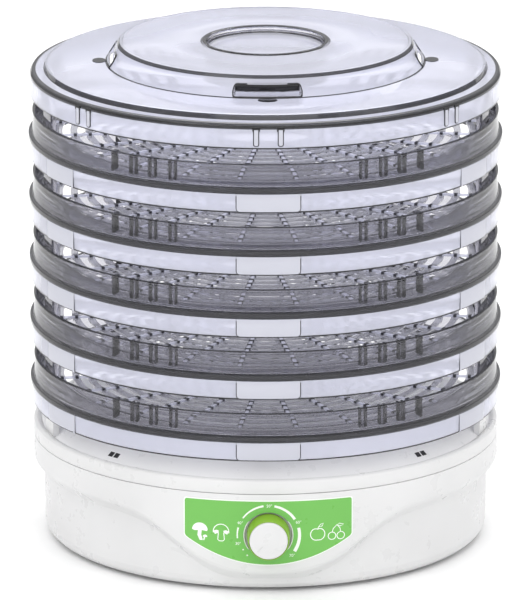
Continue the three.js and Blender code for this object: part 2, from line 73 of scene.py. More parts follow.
# Lengths below are in millimetres, round the tower's own axis, with the floor at z 0.
LID_LOW, LID_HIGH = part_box("lid")
AXIS_Y = (LID_LOW.y + LID_HIGH.y) / 2 / MM
CENTRE = (0.0, AXIS_Y * MM, 0.0)
TRAYS = range(1, 6)
SKIRT_DROP = 13.8
FLANGE_Z = {k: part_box(f"tray_{k}_ring")[0].z / MM + SKIRT_DROP for k in TRAYS}
TRAY_PITCH = FLANGE_Z[2] - FLANGE_Z[1]
RIM_RADIUS = 160.9
SKIRT_RADIUS = 162.6
SKIRT_FACE = SKIRT_RADIUS + 0.02
LEDGE_RADIUS = 151.0
GRID_BOTTOM, GRID_TOP = 2.0, 4.6
HUB_RADII = (30.0, 34.0)
COLUMN_ANGLES = (-107, -73, 73, 107)
COLUMN_RADII = (153.4, 157.6)
COLUMN_HALF_ANGLE = 3.3
LID_TOP = LID_HIGH.z / MM
BODY_RADIUS = 154.8
SHOULDER_RADIUS = 156.4
BAND_RADIUS = 162.2
SEAM_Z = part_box("lower_shell")[1].z / MM + 0.3
LIP_Z = SEAM_Z + 10.0
DECK_Z = 92.6
OUTLET_RADIUS = 62.7
PLATE_RADIUS = 146.7
DIAL_Z = (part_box("knob")[0].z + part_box("knob")[1].z) / 2 / MM
DIAL_RADIUS = 17.0
KNOB_FACE = -175.2
PANEL_HALF_ANGLE = 20.5
PANEL_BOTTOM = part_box("control_panel")[0].z / MM
PANEL_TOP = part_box("control_panel")[1].z / MM
FOOT_ANGLES = (30, 150, 210, 330)
FOOT_RADIUS = 118
INLET_Z = 20
CATCH_ANGLES = (-44.2, 44.2)
QUARTERS = (0, 90, 180, 270)
PRINT_HEIGHT = 0.3
CLEAR = "smoky_clear_plastic"
WHITE = "white_plastic"


# ---- Shapes ----
def around(radius, degrees, z):
    """A point at a radius and at an angle from the front, positive towards +X."""
    turn = math.radians(degrees)
    return (radius * math.sin(turn), -radius * math.cos(turn), z)


def steps(start, end, count):
    return [start + (end - start) * i / count for i in range(count + 1)]


def softened(outline, default=0.4, parts=3, turned=True):
    """A closed outline with rounded corners. A corner's third number is its own radius.

    Corners on the axis of a turned outline stay sharp.
    """
    result = []
    for i, corner in enumerate(outline):
        before = Vector(outline[i - 1][:2])
        here = Vector(corner[:2])
        after = Vector(outline[(i + 1) % len(outline)][:2])
        radius = corner[2] if len(corner) > 2 else default
        to_before, to_after = before - here, after - here
        shortest = min(to_before.length, to_after.length)
        if radius <= 0 or shortest < 1e-6 or (turned and here.x < 1e-6):
            result.append(here)
            continue
        to_before.normalize()
        to_after.normalize()
        half = to_before.angle(to_after) / 2
        if half > math.radians(89):
            result += [here] * (parts + 1)
            continue
        reach = min(radius / math.tan(half), 0.45 * shortest)
        radius = reach * math.tan(half)
        centre = here + (to_before + to_after).normalized() * (radius / math.sin(half))
        first = here + to_before * reach - centre
        last = here + to_after * reach - centre
        start = math.atan2(first.y, first.x)
        sweep = math.remainder(math.atan2(last.y, last.x) - start, math.tau)
        for k in range(parts + 1):
            turn = start + sweep * k / parts
            result.append(centre + Vector((math.cos(turn), math.sin(turn))) * radius)
    return [(point[0], point[1]) for point in result]


def corner_trim(inset, corner):
    """How much a rounded corner takes off the height at an inset from the side."""
    drop = corner - min(max(inset, 0.0), corner)
    return corner - math.sqrt(max(corner * corner - drop * drop, 0.0))


def box_section(radii, heights):
    (inner, outer), (low, high) = radii, heights
    return [(inner, low), (outer, low), (outer, high), (inner, high)]


def front_axis(x, z):
    """Turns about a line along Y through (x, z): radius, angle and y to a point."""

    def place(radius, degrees, y):
        turn = math.radians(degrees)
        return (x + radius * math.sin(turn), y, z + radius * math.cos(turn))

    return place


def upright_axis(x, y):
    """Turns about an upright line through (x, y): radius, angle and z to a point."""

    def place(radius, degrees, z):
        turn = math.radians(degrees)
        return (x + radius * math.sin(turn), y - radius * math.cos(turn), z)

    return place


def on_band(x, z, lift):
    """A point seen from the front at x and z, on the base's band or a little in front of it."""
    radius = BAND_RADIUS + lift
    return (x, -math.sqrt(radius * radius - x * x), z)


def direction(path, i, closed):
    """The way an open or closed path runs at its point i."""
    before = path[i - 1] if i or closed else path[i]
    after = path[(i + 1) % len(path)] if closed or i + 1 < len(path) else path[i]
    return (Vector(after) - Vector(before)).normalized()


class Shape:
    """Closed shells in millimetres that become one object."""

    def __init__(self):
        self.points = []
        self.faces = []

    def add(self, points, faces):
        start = len(self.points)
        self.points += points
        self.faces += [tuple(start + i for i in face) for face in faces]

    def skin(self, rows, closed=False):
        """Joins rows of points, each a closed outline. Open skins get end faces."""
        count = len(rows[0])
        faces = []
        for i in range(len(rows) if closed else len(rows) - 1):
            here, there = i * count, ((i + 1) % len(rows)) * count
            for j in range(count):
                k = (j + 1) % count
                faces.append((here + j, here + k, there + k, there + j))
        if not closed:
            last = (len(rows) - 1) * count
            faces.append(tuple(range(count)))
            faces.append(tuple(last + j for j in reversed(range(count))))
        self.add([point for row in rows for point in row], faces)

    def turned(self, outline, parts, place=around):
        """Turns a closed outline of radius and height. Points on the axis close the shape."""
        points, rows, faces = [], [], []
        for radius, height in outline:
            if radius < 1e-6:
                rows.append([len(points)] * parts)
                points.append(place(0, 0, height))
            else:
                rows.append([len(points) + i for i in range(parts)])
                points += [place(radius, 360 * i / parts, height) for i in range(parts)]
        for j, row in enumerate(rows):
            after = rows[(j + 1) % len(rows)]
            for i in range(parts):
                k = (i + 1) % parts
                face = tuple(dict.fromkeys((row[i], row[k], after[k], after[i])))
                if len(face) > 2:
                    faces.append(face)
        self.add(points, faces)

    def swept(self, angles, section_at, closed=False):
        rows = [[around(radius, angle, z) for radius, z in section_at(angle)] for angle in angles]
        self.skin(rows, closed)

    def pad(self, angle, half_angle, radii, heights, corner=0.0, parts=12, soft=0.25):
        """A curved plate between two radii, with rounded lower corners."""
        low, high = heights

        def section(here):
            inset = math.radians(half_angle - abs(here - angle)) * radii[1]
            lift = corner_trim(inset, corner)
            return softened(box_section(radii, (low + lift, high)), soft, 2)

        angles = [angle + half_angle * math.sin(math.pi / 2 * t) for t in steps(-1, 1, parts)]
        self.swept(angles, section)

    def prism(self, outline, bottom, top, place):
        """A flat outline given thickness: place maps x, y and height to a point."""
        count = len(outline)
        points = [place(x, y, bottom) for x, y in outline] + [place(x, y, top) for x, y in outline]
        faces = [(i, (i + 1) % count, count + (i + 1) % count, count + i) for i in range(count)]
        for face in tessellate_polygon([[Vector((x, y, 0)) for x, y in outline]]):
            faces.append(tuple(face))
            faces.append(tuple(count + i for i in reversed(face)))
        self.add(points, faces)

    def ribbon(self, path, width, place, height, closed=False):
        """A raised line along a flat path. width is one number or two for a line that widens."""
        first, last = width if isinstance(width, tuple) else (width, width)
        rows = []
        for i, point in enumerate(path):
            along = direction(path, i, closed)
            half = (first + (last - first) * i / (len(path) - 1)) / 2
            across = Vector((-along.y, along.x)) * half
            left, right = Vector(point) + across, Vector(point) - across
            ends = ((left, 0), (left, height), (right, height), (right, 0))
            rows.append([place(end.x, end.y, z) for end, z in ends])
        self.skin(rows, closed)

    def loop(self, path, radius, sides):
        """A round wire along a closed path of points that never runs straight up."""
        rows = []
        for i, point in enumerate(path):
            along = direction(path, i, True)
            side = along.cross(Vector((0, 0, 1))).normalized()
            up = along.cross(side)
            ring = []
            for k in range(sides):
                turn = math.tau * k / sides
                out = side * math.cos(turn) + up * math.sin(turn)
                ring.append(tuple(Vector(point) + out * radius))
            rows.append(ring)
        self.skin(rows, closed=True)

    def block(self, low, high):
        """A block between two corners."""
        x, y, z = zip(low, high)
        points = [(x[i], y[j], z[k]) for k in (0, 1) for j in (0, 1) for i in (0, 1)]
        ends = [(0, 2, 3, 1), (4, 5, 7, 6)]
        self.add(points, ends + [(0, 1, 5, 4), (2, 6, 7, 3), (0, 4, 6, 2), (1, 3, 7, 5)])

    def made(self, name, look, sharp=32):
        """The object, with its place in its mesh, faces outwards and hard edges kept."""
        mesh = bpy.data.meshes.new(name)
        placed = [(x * MM, (y + AXIS_Y) * MM, z * MM) for x, y, z in self.points]
        mesh.from_pydata(placed, [], self.faces)
        tidied(mesh)
        finished(mesh, finish(look), sharp)
        return linked(bpy.data.objects.new(name, mesh))


def tidied(mesh):
    edit = bmesh.new()
    edit.from_mesh(mesh)
    bmesh.ops.remove_doubles(edit, verts=edit.verts, dist=1e-7)
    bmesh.ops.dissolve_degenerate(edit, edges=edit.edges, dist=1e-7)
    bmesh.ops.recalc_face_normals(edit, faces=edit.faces)
    edit.to_mesh(mesh)
    edit.free()


def finished(mesh, material, sharp=32):
    if material:
        mesh.materials.clear()
        mesh.materials.append(material)
    mesh.polygons.foreach_set("use_smooth", [True] * len(mesh.polygons))
    mesh.set_sharp_from_angle(angle=math.radians(sharp))
    mesh.update()


def painted(thing, names, rule):
    """Gives each face one of the named finishes by its radius and height in millimetres."""
    mesh = thing.data
    mesh.materials.clear()
    for name in names:
        mesh.materials.append(finish(name))
    for face in mesh.polygons:
        x, y, z = face.center / MM
        face.material_index = names.index(rule(math.hypot(x, y - AXIS_Y), z))
    return thing


def evaluated_mesh(thing):
    graph = bpy.context.evaluated_depsgraph_get()
    return bpy.data.meshes.new_from_object(thing.evaluated_get(graph), depsgraph=graph)


def plain_mesh(thing, material):
    """The object with its modifiers turned into a plain mesh."""
    mesh = evaluated_mesh(thing)
    mesh.name = thing.name
    thing.modifiers.clear()
    thing.data = mesh
    finished(mesh, material)
    return thing


def cut_away(thing, cutter):
    """Cuts the cutter shape out of the object and removes the cutter."""
    material = thing.data.materials[0]
    tool = cutter.made(thing.name + "_cutter", "white")
    cut = thing.modifiers.new("cut", "BOOLEAN")
    cut.operation = "DIFFERENCE"
    cut.solver = "EXACT"
    cut.object = tool
    plain_mesh(thing, material)
    bpy.data.objects.remove(tool)
    tidied(thing.data)
    finished(thing.data, material)
    return thing


def linked(thing):
    bpy.context.scene.collection.objects.link(thing)
    return thing


def settle(thing, body, slot, *nodes):
    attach(thing, body)
    if nodes:
        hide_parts(*nodes)


# ---- Node trees ----
def add_sockets(tree, direction, sockets):
    """Named sockets whose kinds follow their defaults. None stands for a material."""
    kinds = {int: "Int", float: "Float", type(None): "Material"}
    for name, default in sockets.items():
        kind = kinds.get(type(default)) or ("Color" if len(default) == 4 else "Vector")
        kind = "NodeSocket" + kind
        socket = tree.interface.new_socket(name, in_out=direction, socket_type=kind)
        if default is not None:
            socket.default_value = default


class Nodes:
    """A node tree under construction."""

    def __init__(self, tree):
        self.tree = tree

    def node(self, kind, links=None, **settings):
        made = self.tree.nodes.new(kind)
        for key, value in settings.items():
            setattr(made, key, value)
        for key, value in (links or {}).items():
            self.feed(made.inputs[key], value)
        return made

    def feed(self, socket, value):
        if isinstance(value, bpy.types.NodeSocket):
            self.tree.links.new(value, socket)
        else:
            socket.default_value = value


class Growth(Nodes):
    """A Geometry Nodes tree. A string stands for the tree's input of that name."""

    def __init__(self, name, inputs):
        super().__init__(bpy.data.node_groups.new(name, "GeometryNodeTree"))
        for direction in ("INPUT", "OUTPUT"):
            self.tree.interface.new_socket(
                "Geometry", in_out=direction, socket_type="NodeSocketGeometry"
            )
        add_sockets(self.tree, "INPUT", inputs | {"Material": None})
        self.start = self.tree.nodes.new("NodeGroupInput")
        self.end = self.tree.nodes.new("NodeGroupOutput")

    def feed(self, socket, value):
        super().feed(socket, self.start.outputs[value] if isinstance(value, str) else value)

    def made(self, kind, links=None, **settings):
        """The first output of a new geometry node."""
        return self.node("GeometryNode" + kind, links, **settings).outputs[0]

    def maths(self, operation, first, second=0.0):
        links = {0: first, 1: second}
        return self.node("ShaderNodeMath", links, operation=operation).outputs[0]

    def vector(self, x=0.0, y=0.0, z=0.0):
        return self.node("ShaderNodeCombineXYZ", {"X": x, "Y": y, "Z": z}).outputs[0]

    def span(self):
        """The length between the inner and outer radius, and their middle."""
        total = self.maths("ADD", "Outer radius", "Inner radius")
        length = self.maths("SUBTRACT", "Outer radius", "Inner radius")
        return length, self.maths("MULTIPLY", total, 0.5)

    def moved(self, piece, x=0.0, z=0.0):
        place = self.vector(x, 0.0, z)
        return self.made("Transform", {"Geometry": piece, "Translation": place})

    def copied(self, piece, points, turn):
        links = {"Points": points, "Instance": piece, "Rotation": turn}
        return self.made("InstanceOnPoints", links)

    def turned(self, piece, count, shift=0.5, start=0.0, centre=(0.0, 0.0, 0.0)):
        """Copies round a circle. The first is shifted by a part of a step."""
        points = self.made("Points", {"Count": count, "Position": centre})
        order = self.maths("ADD", self.made("InputIndex"), shift)
        share = self.maths("DIVIDE", order, count)
        turn = self.maths("ADD", self.maths("MULTIPLY", share, math.tau), start)
        return self.copied(piece, points, self.vector(0.0, 0.0, turn))

    def joined(self, *parts):
        both = self.node("GeometryNodeJoinGeometry")
        for part in parts:
            self.tree.links.new(part, both.inputs[0])
        return both.outputs[0]

    def coloured(self, geometry, material):
        real = self.made("RealizeInstances", {"Geometry": geometry})
        return self.made("SetMaterial", {"Geometry": real, "Material": material})

    def finish(self, geometry):
        self.feed(self.end.inputs[0], geometry)
        return self.tree


def grid_tree():
    """Spokes on top of concentric hoops, thickened where they cross."""
    tree = Growth(
        "spokes and hoops",
        {
            "Spokes": 24,
            "Spoke width": 0.0024,
            "Spoke height": 0.0012,
            "Inner radius": 0.034,
            "Outer radius": 0.148,
            "Hoops": 11,
            "Hoop width": 0.005,
            "Hoop height": 0.0012,
            "Spoke material": None,
            "Crossing material": None,
        },
    )
    length, middle = tree.span()
    size = tree.vector(length, "Spoke width", "Spoke height")
    bar = tree.made("MeshCube", {"Size": size})
    bar = tree.moved(bar, middle, tree.maths("MULTIPLY", "Spoke height", 0.5))
    spokes = tree.turned(bar, "Spokes")

    circle = tree.made("CurvePrimitiveCircle", {"Resolution": 144, "Radius": 1.0})
    links = {"Geometry": circle, "Amount": "Hoops"}
    copies = tree.node("GeometryNodeDuplicateElements", links, domain="SPLINE")
    step = tree.maths("DIVIDE", length, "Hoops")
    order = tree.maths("ADD", copies.outputs["Duplicate Index"], 0.5)
    radius = tree.maths("ADD", "Inner radius", tree.maths("MULTIPLY", order, step))
    links = {0: tree.made("InputPosition"), "Scale": radius}
    wide = tree.node("ShaderNodeVectorMath", links, operation="SCALE").outputs[0]
    placed = tree.made("SetPosition", {"Geometry": copies.outputs[0], "Position": wide})
    links = {"Width": "Hoop width", "Height": "Hoop height"}
    section = tree.made("CurvePrimitiveQuadrilateral", links, mode="RECTANGLE")
    hoops = tree.made("CurveToMesh", {"Curve": placed, "Profile Curve": section})
    drop = tree.maths("MULTIPLY", tree.maths("ADD", "Hoop height", 0.0002), -0.5)

    tall = tree.maths("ADD", "Spoke height", 0.0003)
    size = tree.vector(0.0022, tree.maths("ADD", "Spoke width", 0.0012), tall)
    block = tree.made("MeshCube", {"Size": size})
    first = tree.maths("ADD", "Inner radius", tree.maths("MULTIPLY", step, 0.5))
    start = tree.vector(first, 0.0, tree.maths("MULTIPLY", tall, 0.5))
    links = {"Count": "Hoops", "Start Location": start, "Offset": tree.vector(step)}
    row = tree.copied(block, tree.made("MeshLine", links), (0.0, 0.0, 0.0))
    crossings = tree.turned(row, "Spokes")

    return tree.finish(
        tree.joined(
            tree.coloured(spokes, "Spoke material"),
            # The crossings take the painted-shade finish: dark dots standing in for the darkness
            # seen through the thicker plastic there.
            tree.coloured(crossings, "Crossing material"),
            tree.coloured(tree.moved(hoops, 0.0, drop), "Material"),
        )
    )


def slot_tree():
    """Cuts a ring of round-ended radial slots out of a plate."""
    tree = Growth(
        "radial slots",
        {
            "Slots": 16,
            "Slot width": 0.005,
            "Inner radius": 0.022,
            "Outer radius": 0.056,
            "Height": 0.0,
            "Centre": (0.0, 0.0, 0.0),
        },
    )
    length, middle = tree.span()
    links = {"Width": length, "Height": "Slot width"}
    outline = tree.made("CurvePrimitiveQuadrilateral", links, mode="RECTANGLE")
    corner = tree.maths("MULTIPLY", "Slot width", 0.48)
    links = {"Curve": outline, "Radius": corner, "Count": 4}
    rounded = tree.made("FilletCurve", links, mode="POLY")
    filled = tree.made("FillCurve", {"Curve": rounded}, mode="NGONS")
    links = {"Mesh": filled, "Offset": tree.vector(z=1.0), "Offset Scale": 0.03}
    thick = tree.made("ExtrudeMesh", links | {"Individual": False})
    closed = tree.joined(thick, tree.made("FlipFaces", {"Mesh": filled}))
    welded = tree.made("MergeByDistance", {"Geometry": closed, "Distance": 1e-6})
    slot = tree.moved(welded, middle, "Height")
    slots = tree.turned(slot, "Slots", centre="Centre")
    real = tree.made("RealizeInstances", {"Geometry": slots})
    links = {"Mesh 1": tree.start.outputs[0], "Mesh 2": real}
    plate = tree.made("MeshBoolean", links, operation="DIFFERENCE", solver="EXACT")
    return tree.finish(tree.coloured(plate, "Material"))


def ring_copies_tree():
    """Places copies of a piece round a circle."""
    tree = Growth(
        "copies round a circle",
        {"Count": 4, "Radius": 0.141, "Start angle": math.radians(45), "Centre": (0.0, 0.0, 0.0)},
    )
    piece = tree.moved(tree.start.outputs[0], "Radius")
    copies = tree.turned(piece, "Count", 0.0, "Start angle", "Centre")
    return tree.finish(tree.coloured(copies, "Material"))


def grown(thing, tree, material, values):
    """Runs a tree on the object, its inputs set by identifier, and keeps the plain mesh."""
    growth = thing.modifiers.new("growth", "NODES")
    growth.node_group = tree
    sockets = tree.interface.items_tree
    named = {item.name: item.identifier for item in sockets if item.in_out == "INPUT"}
    for label, value in (values | {"Material": material}).items():
        growth[named[label]] = value
    return plain_mesh(thing, None)


# ---- Finishes ----
class Shader(Nodes):
    """A material or shader group under construction."""

    def __init__(self, tree):
        super().__init__(tree)
        tree.nodes.clear()

    def group(self, tree, **values):
        made = self.node("ShaderNodeGroup", node_tree=tree)
        for label, value in values.items():
            self.feed(made.inputs[label.replace("_", " ")], value)
        return made.outputs

    def noise(self, scale, detail=3.0, roughness=0.5):
        place = self.node("ShaderNodeTexCoord").outputs["Object"]
        links = {"Vector": place, "Scale": scale, "Detail": detail, "Roughness": roughness}
        return self.node("ShaderNodeTexNoise", links).outputs[0]

    def maths(self, operation, first, second):
        links = {0: first, 1: second}
        return self.node("ShaderNodeMath", links, operation=operation).outputs[0]

    def spread(self, value, low, high, from_low=0.3, from_high=0.7):
        links = {0: value, 1: from_low, 2: from_high, 3: low, 4: high}
        return self.node("ShaderNodeMapRange", links).outputs[0]

    def blend(self, factor, first, second):
        made = self.node("ShaderNodeMix", data_type="RGBA")
        for socket, value in zip((0, 6, 7), (factor, first, second)):
            self.feed(made.inputs[socket], value)
        return made.outputs[2]

    def bump(self, height, strength, distance):
        links = {"Height": height, "Strength": strength, "Distance": distance}
        return self.node("ShaderNodeBump", links).outputs[0]

    def end(self, kind, surface):
        self.node(kind, {"Surface": surface})


def opaque(colour, share=1.0):
    """A colour with each part scaled by share."""
    return tuple(part * share for part in colour) + (1.0,)


def shader_group(name, inputs, outputs):
    shader = Shader(bpy.data.node_groups.new(name, "ShaderNodeTree"))
    add_sockets(shader.tree, "INPUT", inputs)
    add_sockets(shader.tree, "OUTPUT", outputs)
    start, end = shader.node("NodeGroupInput"), shader.node("NodeGroupOutput")
    return shader, start.outputs, end.inputs


def moulded_group():
    """Roughness that wanders a little, and the faint waviness of a moulded face."""
    shader, start, end = shader_group(
        "moulded surface",
        {"Roughness": 0.3, "Spread": 0.05, "Scale": 60.0, "Grain": 0.2},
        {"Roughness": 0.0, "Height": 0.0},
    )
    broad = shader.noise(start["Scale"], 4.0, 0.6)
    offset = shader.maths("MULTIPLY", shader.spread(broad, -1.0, 1.0), start["Spread"])
    summed = shader.maths("ADD", offset, start["Roughness"])
    links = {"Value": summed, "Min": 0.01, "Max": 1.0}
    shader.feed(end["Roughness"], shader.node("ShaderNodeClamp", links).outputs[0])
    fine = shader.noise(shader.maths("MULTIPLY", start["Scale"], 22.0), 2.0)
    grain = shader.maths("MULTIPLY", fine, start["Grain"])
    shader.feed(end["Height"], shader.maths("ADD", broad, grain))
    return shader.tree


def wear_group():
    """A colour that turns towards a worn one along convex edges."""
    light, worn = opaque((0.8, 0.8, 0.8)), opaque((0.6, 0.6, 0.6))
    shader, start, end = shader_group(
        "edge wear",
        {"Colour": light, "Worn colour": worn, "Amount": 0.4, "Scale": 90.0},
        {"Colour": light},
    )
    edge = shader.node("ShaderNodeNewGeometry").outputs["Pointiness"]
    raised = shader.spread(edge, 0.0, 1.0, 0.62, 0.80)
    patchy = shader.spread(shader.noise(start["Scale"], 5.0, 0.7), 0.0, 1.0, 0.35, 0.65)
    mask = shader.maths("MULTIPLY", raised, patchy)
    amount = shader.maths("MULTIPLY", mask, start["Amount"])
    shader.feed(end["Colour"], shader.blend(amount, start["Colour"], start["Worn colour"]))
    return shader.tree


def tone_group():
    """Slow drift of a colour between two close tones."""
    first, second = opaque((0.8, 0.8, 0.8)), opaque((0.75, 0.75, 0.75))
    shader, start, end = shader_group(
        "colour drift",
        {"Colour": first, "Second colour": second, "Scale": 14.0},
        {"Colour": first},
    )
    drift = shader.spread(shader.noise(start["Scale"]), 0.0, 1.0)
    mixed = shader.blend(drift, start["Colour"], start["Second colour"])
    shader.feed(end["Colour"], mixed)
    return shader.tree


MOULDED = moulded_group()
WEAR = wear_group()
DRIFT = tone_group()


def moulded_links(shader, colour, tones, wear, texture, bump):
    """Inputs of a Principled BSDF that every moulded material shares."""
    second, worn = tones
    drift = shader.group(DRIFT, Colour=opaque(colour), Second_colour=opaque(colour, second))
    worn = opaque(colour, worn)
    aged = shader.group(WEAR, Colour=drift[0], Worn_colour=worn, Amount=wear)
    moulded = shader.group(MOULDED, **texture)
    return {
        "Base Color": aged["Colour"],
        "Roughness": moulded["Roughness"],
        "Normal": shader.bump(moulded["Height"], *bump),
    }


def new_material(name):
    material = bpy.data.materials.new(name)
    material.use_nodes = True
    return material, Shader(material.node_tree)


def surface(
    name, colour, roughness, spread=0.05, scale=60.0, grain=0.2, bump=0.05, wear=0.4, metal=0.0
):
    """An opaque moulded, rubber, card or metal finish."""
    material, shader = new_material(name)
    texture = {"Roughness": roughness, "Spread": spread, "Scale": scale, "Grain": grain}
    links = moulded_links(shader, colour, (0.93, 0.72), wear, texture, (bump, 0.0004))
    links["Metallic"] = metal
    principled = shader.node("ShaderNodeBsdfPrincipled", links)
    shader.end("ShaderNodeOutputMaterial", principled.outputs[0])
    return material


def clear_plastic(name, tint, edge_tint, edge_start, clearness, roughness=0.04, bump=0.04):
    """Smoky plastic with painted shade where it is seen edge on, that lets the lamps' light
    through.
    """
    material, shader = new_material(name)
    texture = {"Roughness": roughness, "Spread": 0.03, "Scale": 35.0, "Grain": 0.05}
    links = moulded_links(shader, tint, (0.95, 0.8), 0.06, texture, (bump, 0.0006))
    # Painted shade: the colour turns towards the edge tint as a face turns edge on, standing in
    # for the longer path of light through the smoky wall.
    facing = shader.node("ShaderNodeLayerWeight", {"Blend": 0.5}).outputs["Facing"]
    edge = shader.spread(facing, 0.0, 1.0, edge_start, 1.0)
    links["Base Color"] = shader.blend(edge, links["Base Color"], opaque(edge_tint))
    links |= {"IOR": 1.46, "Transmission Weight": clearness}
    principled = shader.node("ShaderNodeBsdfPrincipled", links)
    passing = shader.node("ShaderNodeBsdfTransparent", {"Color": (0.97, 0.97, 0.98, 1.0)})
    ray = shader.node("ShaderNodeLightPath").outputs["Is Shadow Ray"]
    links = {0: ray, 1: principled.outputs[0], 2: passing.outputs[0]}
    mixed = shader.node("ShaderNodeMixShader", links)
    shader.end("ShaderNodeOutputMaterial", mixed.outputs[0])
    return material


# Name, colour and roughness of each opaque finish, with what else differs. A word for the
# colour is one of the panel's.
MATT = {"grain": 0.0, "bump": 0.02, "wear": 0.02}
SURFACES = {
    "white": ("white_plastic", "housing", 0.3, MATT),
    # Painted light: a brighter copy of the white plastic for the cover's shoulder, standing in for
    # the light that the trays above keep off it.
    "bright": ("white_shoulder", (0.95, 0.95, 0.95), 0.3, MATT),
    "green": ("green_panel", "panel", 0.32, {"scale": 120, "bump": 0.02, "wear": 0.03}),
    "print": ("white_print", (0.93, 0.96, 0.9), 0.4, {"bump": 0.02, "wear": 0.1}),
    "knob": ("green_knob", "knob", 0.3, {"bump": 0.03, "wear": 0.3}),
    "rubber": ("dark_rubber", (0.04, 0.04, 0.042), 0.8, {"grain": 0.8, "bump": 0.3}),
    "steel": (
        "plated_steel",
        (0.62, 0.62, 0.63),
        0.34,
        {"spread": 0.1, "scale": 140, "metal": 1.0},
    ),
    "black": ("black_plastic", (0.025, 0.025, 0.027), 0.5, {"bump": 0.15, "grain": 0.6}),
    "mica": (
        "mica_card",
        (0.5, 0.42, 0.28),
        0.55,
        {"spread": 0.15, "scale": 160, "grain": 0.6, "bump": 0.3},
    ),
    "coil": ("resistance_wire", (0.35, 0.25, 0.18), 0.42, {"metal": 1.0}),
    "brown": ("brown_insulation", (0.15, 0.05, 0.02), 0.42, {}),
    "blue": ("blue_insulation", (0.02, 0.08, 0.4), 0.42, {}),
    "braid": ("white_insulation", (0.8, 0.8, 0.76), 0.7, {"scale": 400, "bump": 0.4}),
    "floor": ("pale_floor", (0.96, 0.96, 0.96), 0.7, {"scale": 3, "bump": 0.0, "wear": 0.0}),
}
FINISHES = {}


def finish(name):
    """The named finish, made the first time it is asked for from the panel's colours."""
    if name in FINISHES:
        return FINISHES[name]
    colours = bpy.context.scene.dehydrator_colours
    if name in SURFACES:
        label, colour, roughness, values = SURFACES[name]
        if isinstance(colour, str):
            colour = getattr(colours, colour)
        FINISHES[name] = surface(label, colour, roughness, **values)
    else:
        tint, *values = {
            "pale": (colours.pale, (0.5, 0.5, 0.56), 0.86, 0.62, 0.07, 0.02),
            "tab": ([0.84 * c for c in colours.pale], (0.4, 0.4, 0.45), 0.8, 0.2),
            "clear": (colours.smoke, (0.02, 0.02, 0.025), 0.5, 1.0),
            # Painted shade: a near-black copy of the smoky plastic, standing in for the dark lines
            # that refraction draws along edges, rims and thick parts.
            "dark": (colours.edges, (0.01, 0.01, 0.012), 0.6, 0.6),
            "bars": (colours.bars, (0.1, 0.1, 0.11), 0.8, 0.75),
        }[name]
        FINISHES[name] = clear_plastic("smoky_" + name, tint, *values)
    return FINISHES[name]


# ---- Settings ----
def count_setting(name, description, default, least):
    return IntProperty(name=name, description=description, default=default, min=least)


def colour_setting(name, description, default):
    return FloatVectorProperty(
        name=name, description=description, default=default, subtype="COLOR"
    )


class DehydratorSizes(bpy.types.PropertyGroup):
    spokes: count_setting("Spokes", "Radial bars of a tray's floor", 24, 8)
    hoops: count_setting("Hoops", "Concentric bars of a tray's floor", 11, 2)
    hoop_width: FloatProperty(
        name="Hoop width", description="Width of a concentric bar", default=0.005, unit="LENGTH"
    )
    outlet_slots: count_setting("Outlet slots", "Slots of the warm air outlet", 16, 6)
    inlet_slots: count_setting("Inlet slots", "Air slots under the base", 16, 6)
    coil_turns: count_setting("Coil turns", "Turns of the heater wire", 64, 8)


class DehydratorColours(bpy.types.PropertyGroup):
    smoke: colour_setting("Smoke", "Tint of the clear walls", (0.66, 0.655, 0.70))
    pale: colour_setting("Pale smoke", "Tint of the lid and the skirts", (0.80, 0.81, 0.91))
    # Edges tints the painted shade along the plastic's edges and thick parts, not the plastic
    # itself.
    edges: colour_setting("Edges", "Tint of the plastic where it is thick", (0.025, 0.025, 0.028))
    bars: colour_setting("Bars", "Tint of the trays' floors", (0.46, 0.46, 0.50))
    housing: colour_setting("Housing", "Colour of the base", (0.74, 0.74, 0.74))
    panel: colour_setting("Panel", "Colour of the control panel", (0.17, 0.51, 0.095))
    knob: colour_setting("Knob", "Colour of the knob's side", (0.25, 0.47, 0.03))


# ---- Trays ----
CHANNEL_ANGLES = (24, 29.5, 35)
FIN_ANGLE = 41
TAB_ANGLES = (-120, -61, 61, 120)


def ring_outline():
    inner = RIM_RADIUS - 1.8
    return softened(
        [
            (inner, 19.6, 0.5), (RIM_RADIUS + 0.6, 19.6, 0.5), (RIM_RADIUS + 0.6, 18.0, 0.4),
            (RIM_RADIUS, 17.4, 0.4), (RIM_RADIUS + 0.8, 4.2, 0.8), (164.2, 3.4, 0.6),
            (164.2, 0.4, 0.6), (163.1, -0.5, 0.4), (SKIRT_RADIUS, 1.0 - SKIRT_DROP, 0),
            (SKIRT_RADIUS, -SKIRT_DROP, 0.5), (SKIRT_RADIUS - 1.4, -SKIRT_DROP, 0.4),
            (SKIRT_RADIUS - 1.4, 1.0 - SKIRT_DROP, 0), (SKIRT_RADIUS - 1.2, -0.9, 0.8),
            (158.4, 0.0, 0.6), (148.4, 0.0, 0.3), (148.4, 1.7, 0.3), (LEDGE_RADIUS, 1.7, 0.2),
            (LEDGE_RADIUS, GRID_TOP, 0.4), (inner - 0.2, GRID_TOP, 0.8),
        ]
    )


def add_channel(shape, angle, base):
    """A U-shaped guide inside the ring's wall, open towards the middle."""
    half = math.degrees(2.6 / 157)
    heights = (base + 5.0, base + 19.0)
    for side in (-1, 1):
        shape.pad(angle + side * half * 0.78, half * 0.2, (155.6, 158.2), heights, parts=2)
    shape.pad(angle, half, (158.3, 158.95), heights, corner=1.6, parts=8)


# Painted shade: the skirt's lower lip, the flange and the rim's top take the near-black finish,
# standing in for the dark lines that refraction draws there.
def ring_finish(radius, rise):
    if rise < -0.9:
        return "dark" if rise < 1.1 - SKIRT_DROP else "pale"
    if rise < 4.3:
        return "dark" if radius > 160.4 else "bars" if radius > LEDGE_RADIUS else "clear"
    return "dark" if rise > 18.8 else "clear"


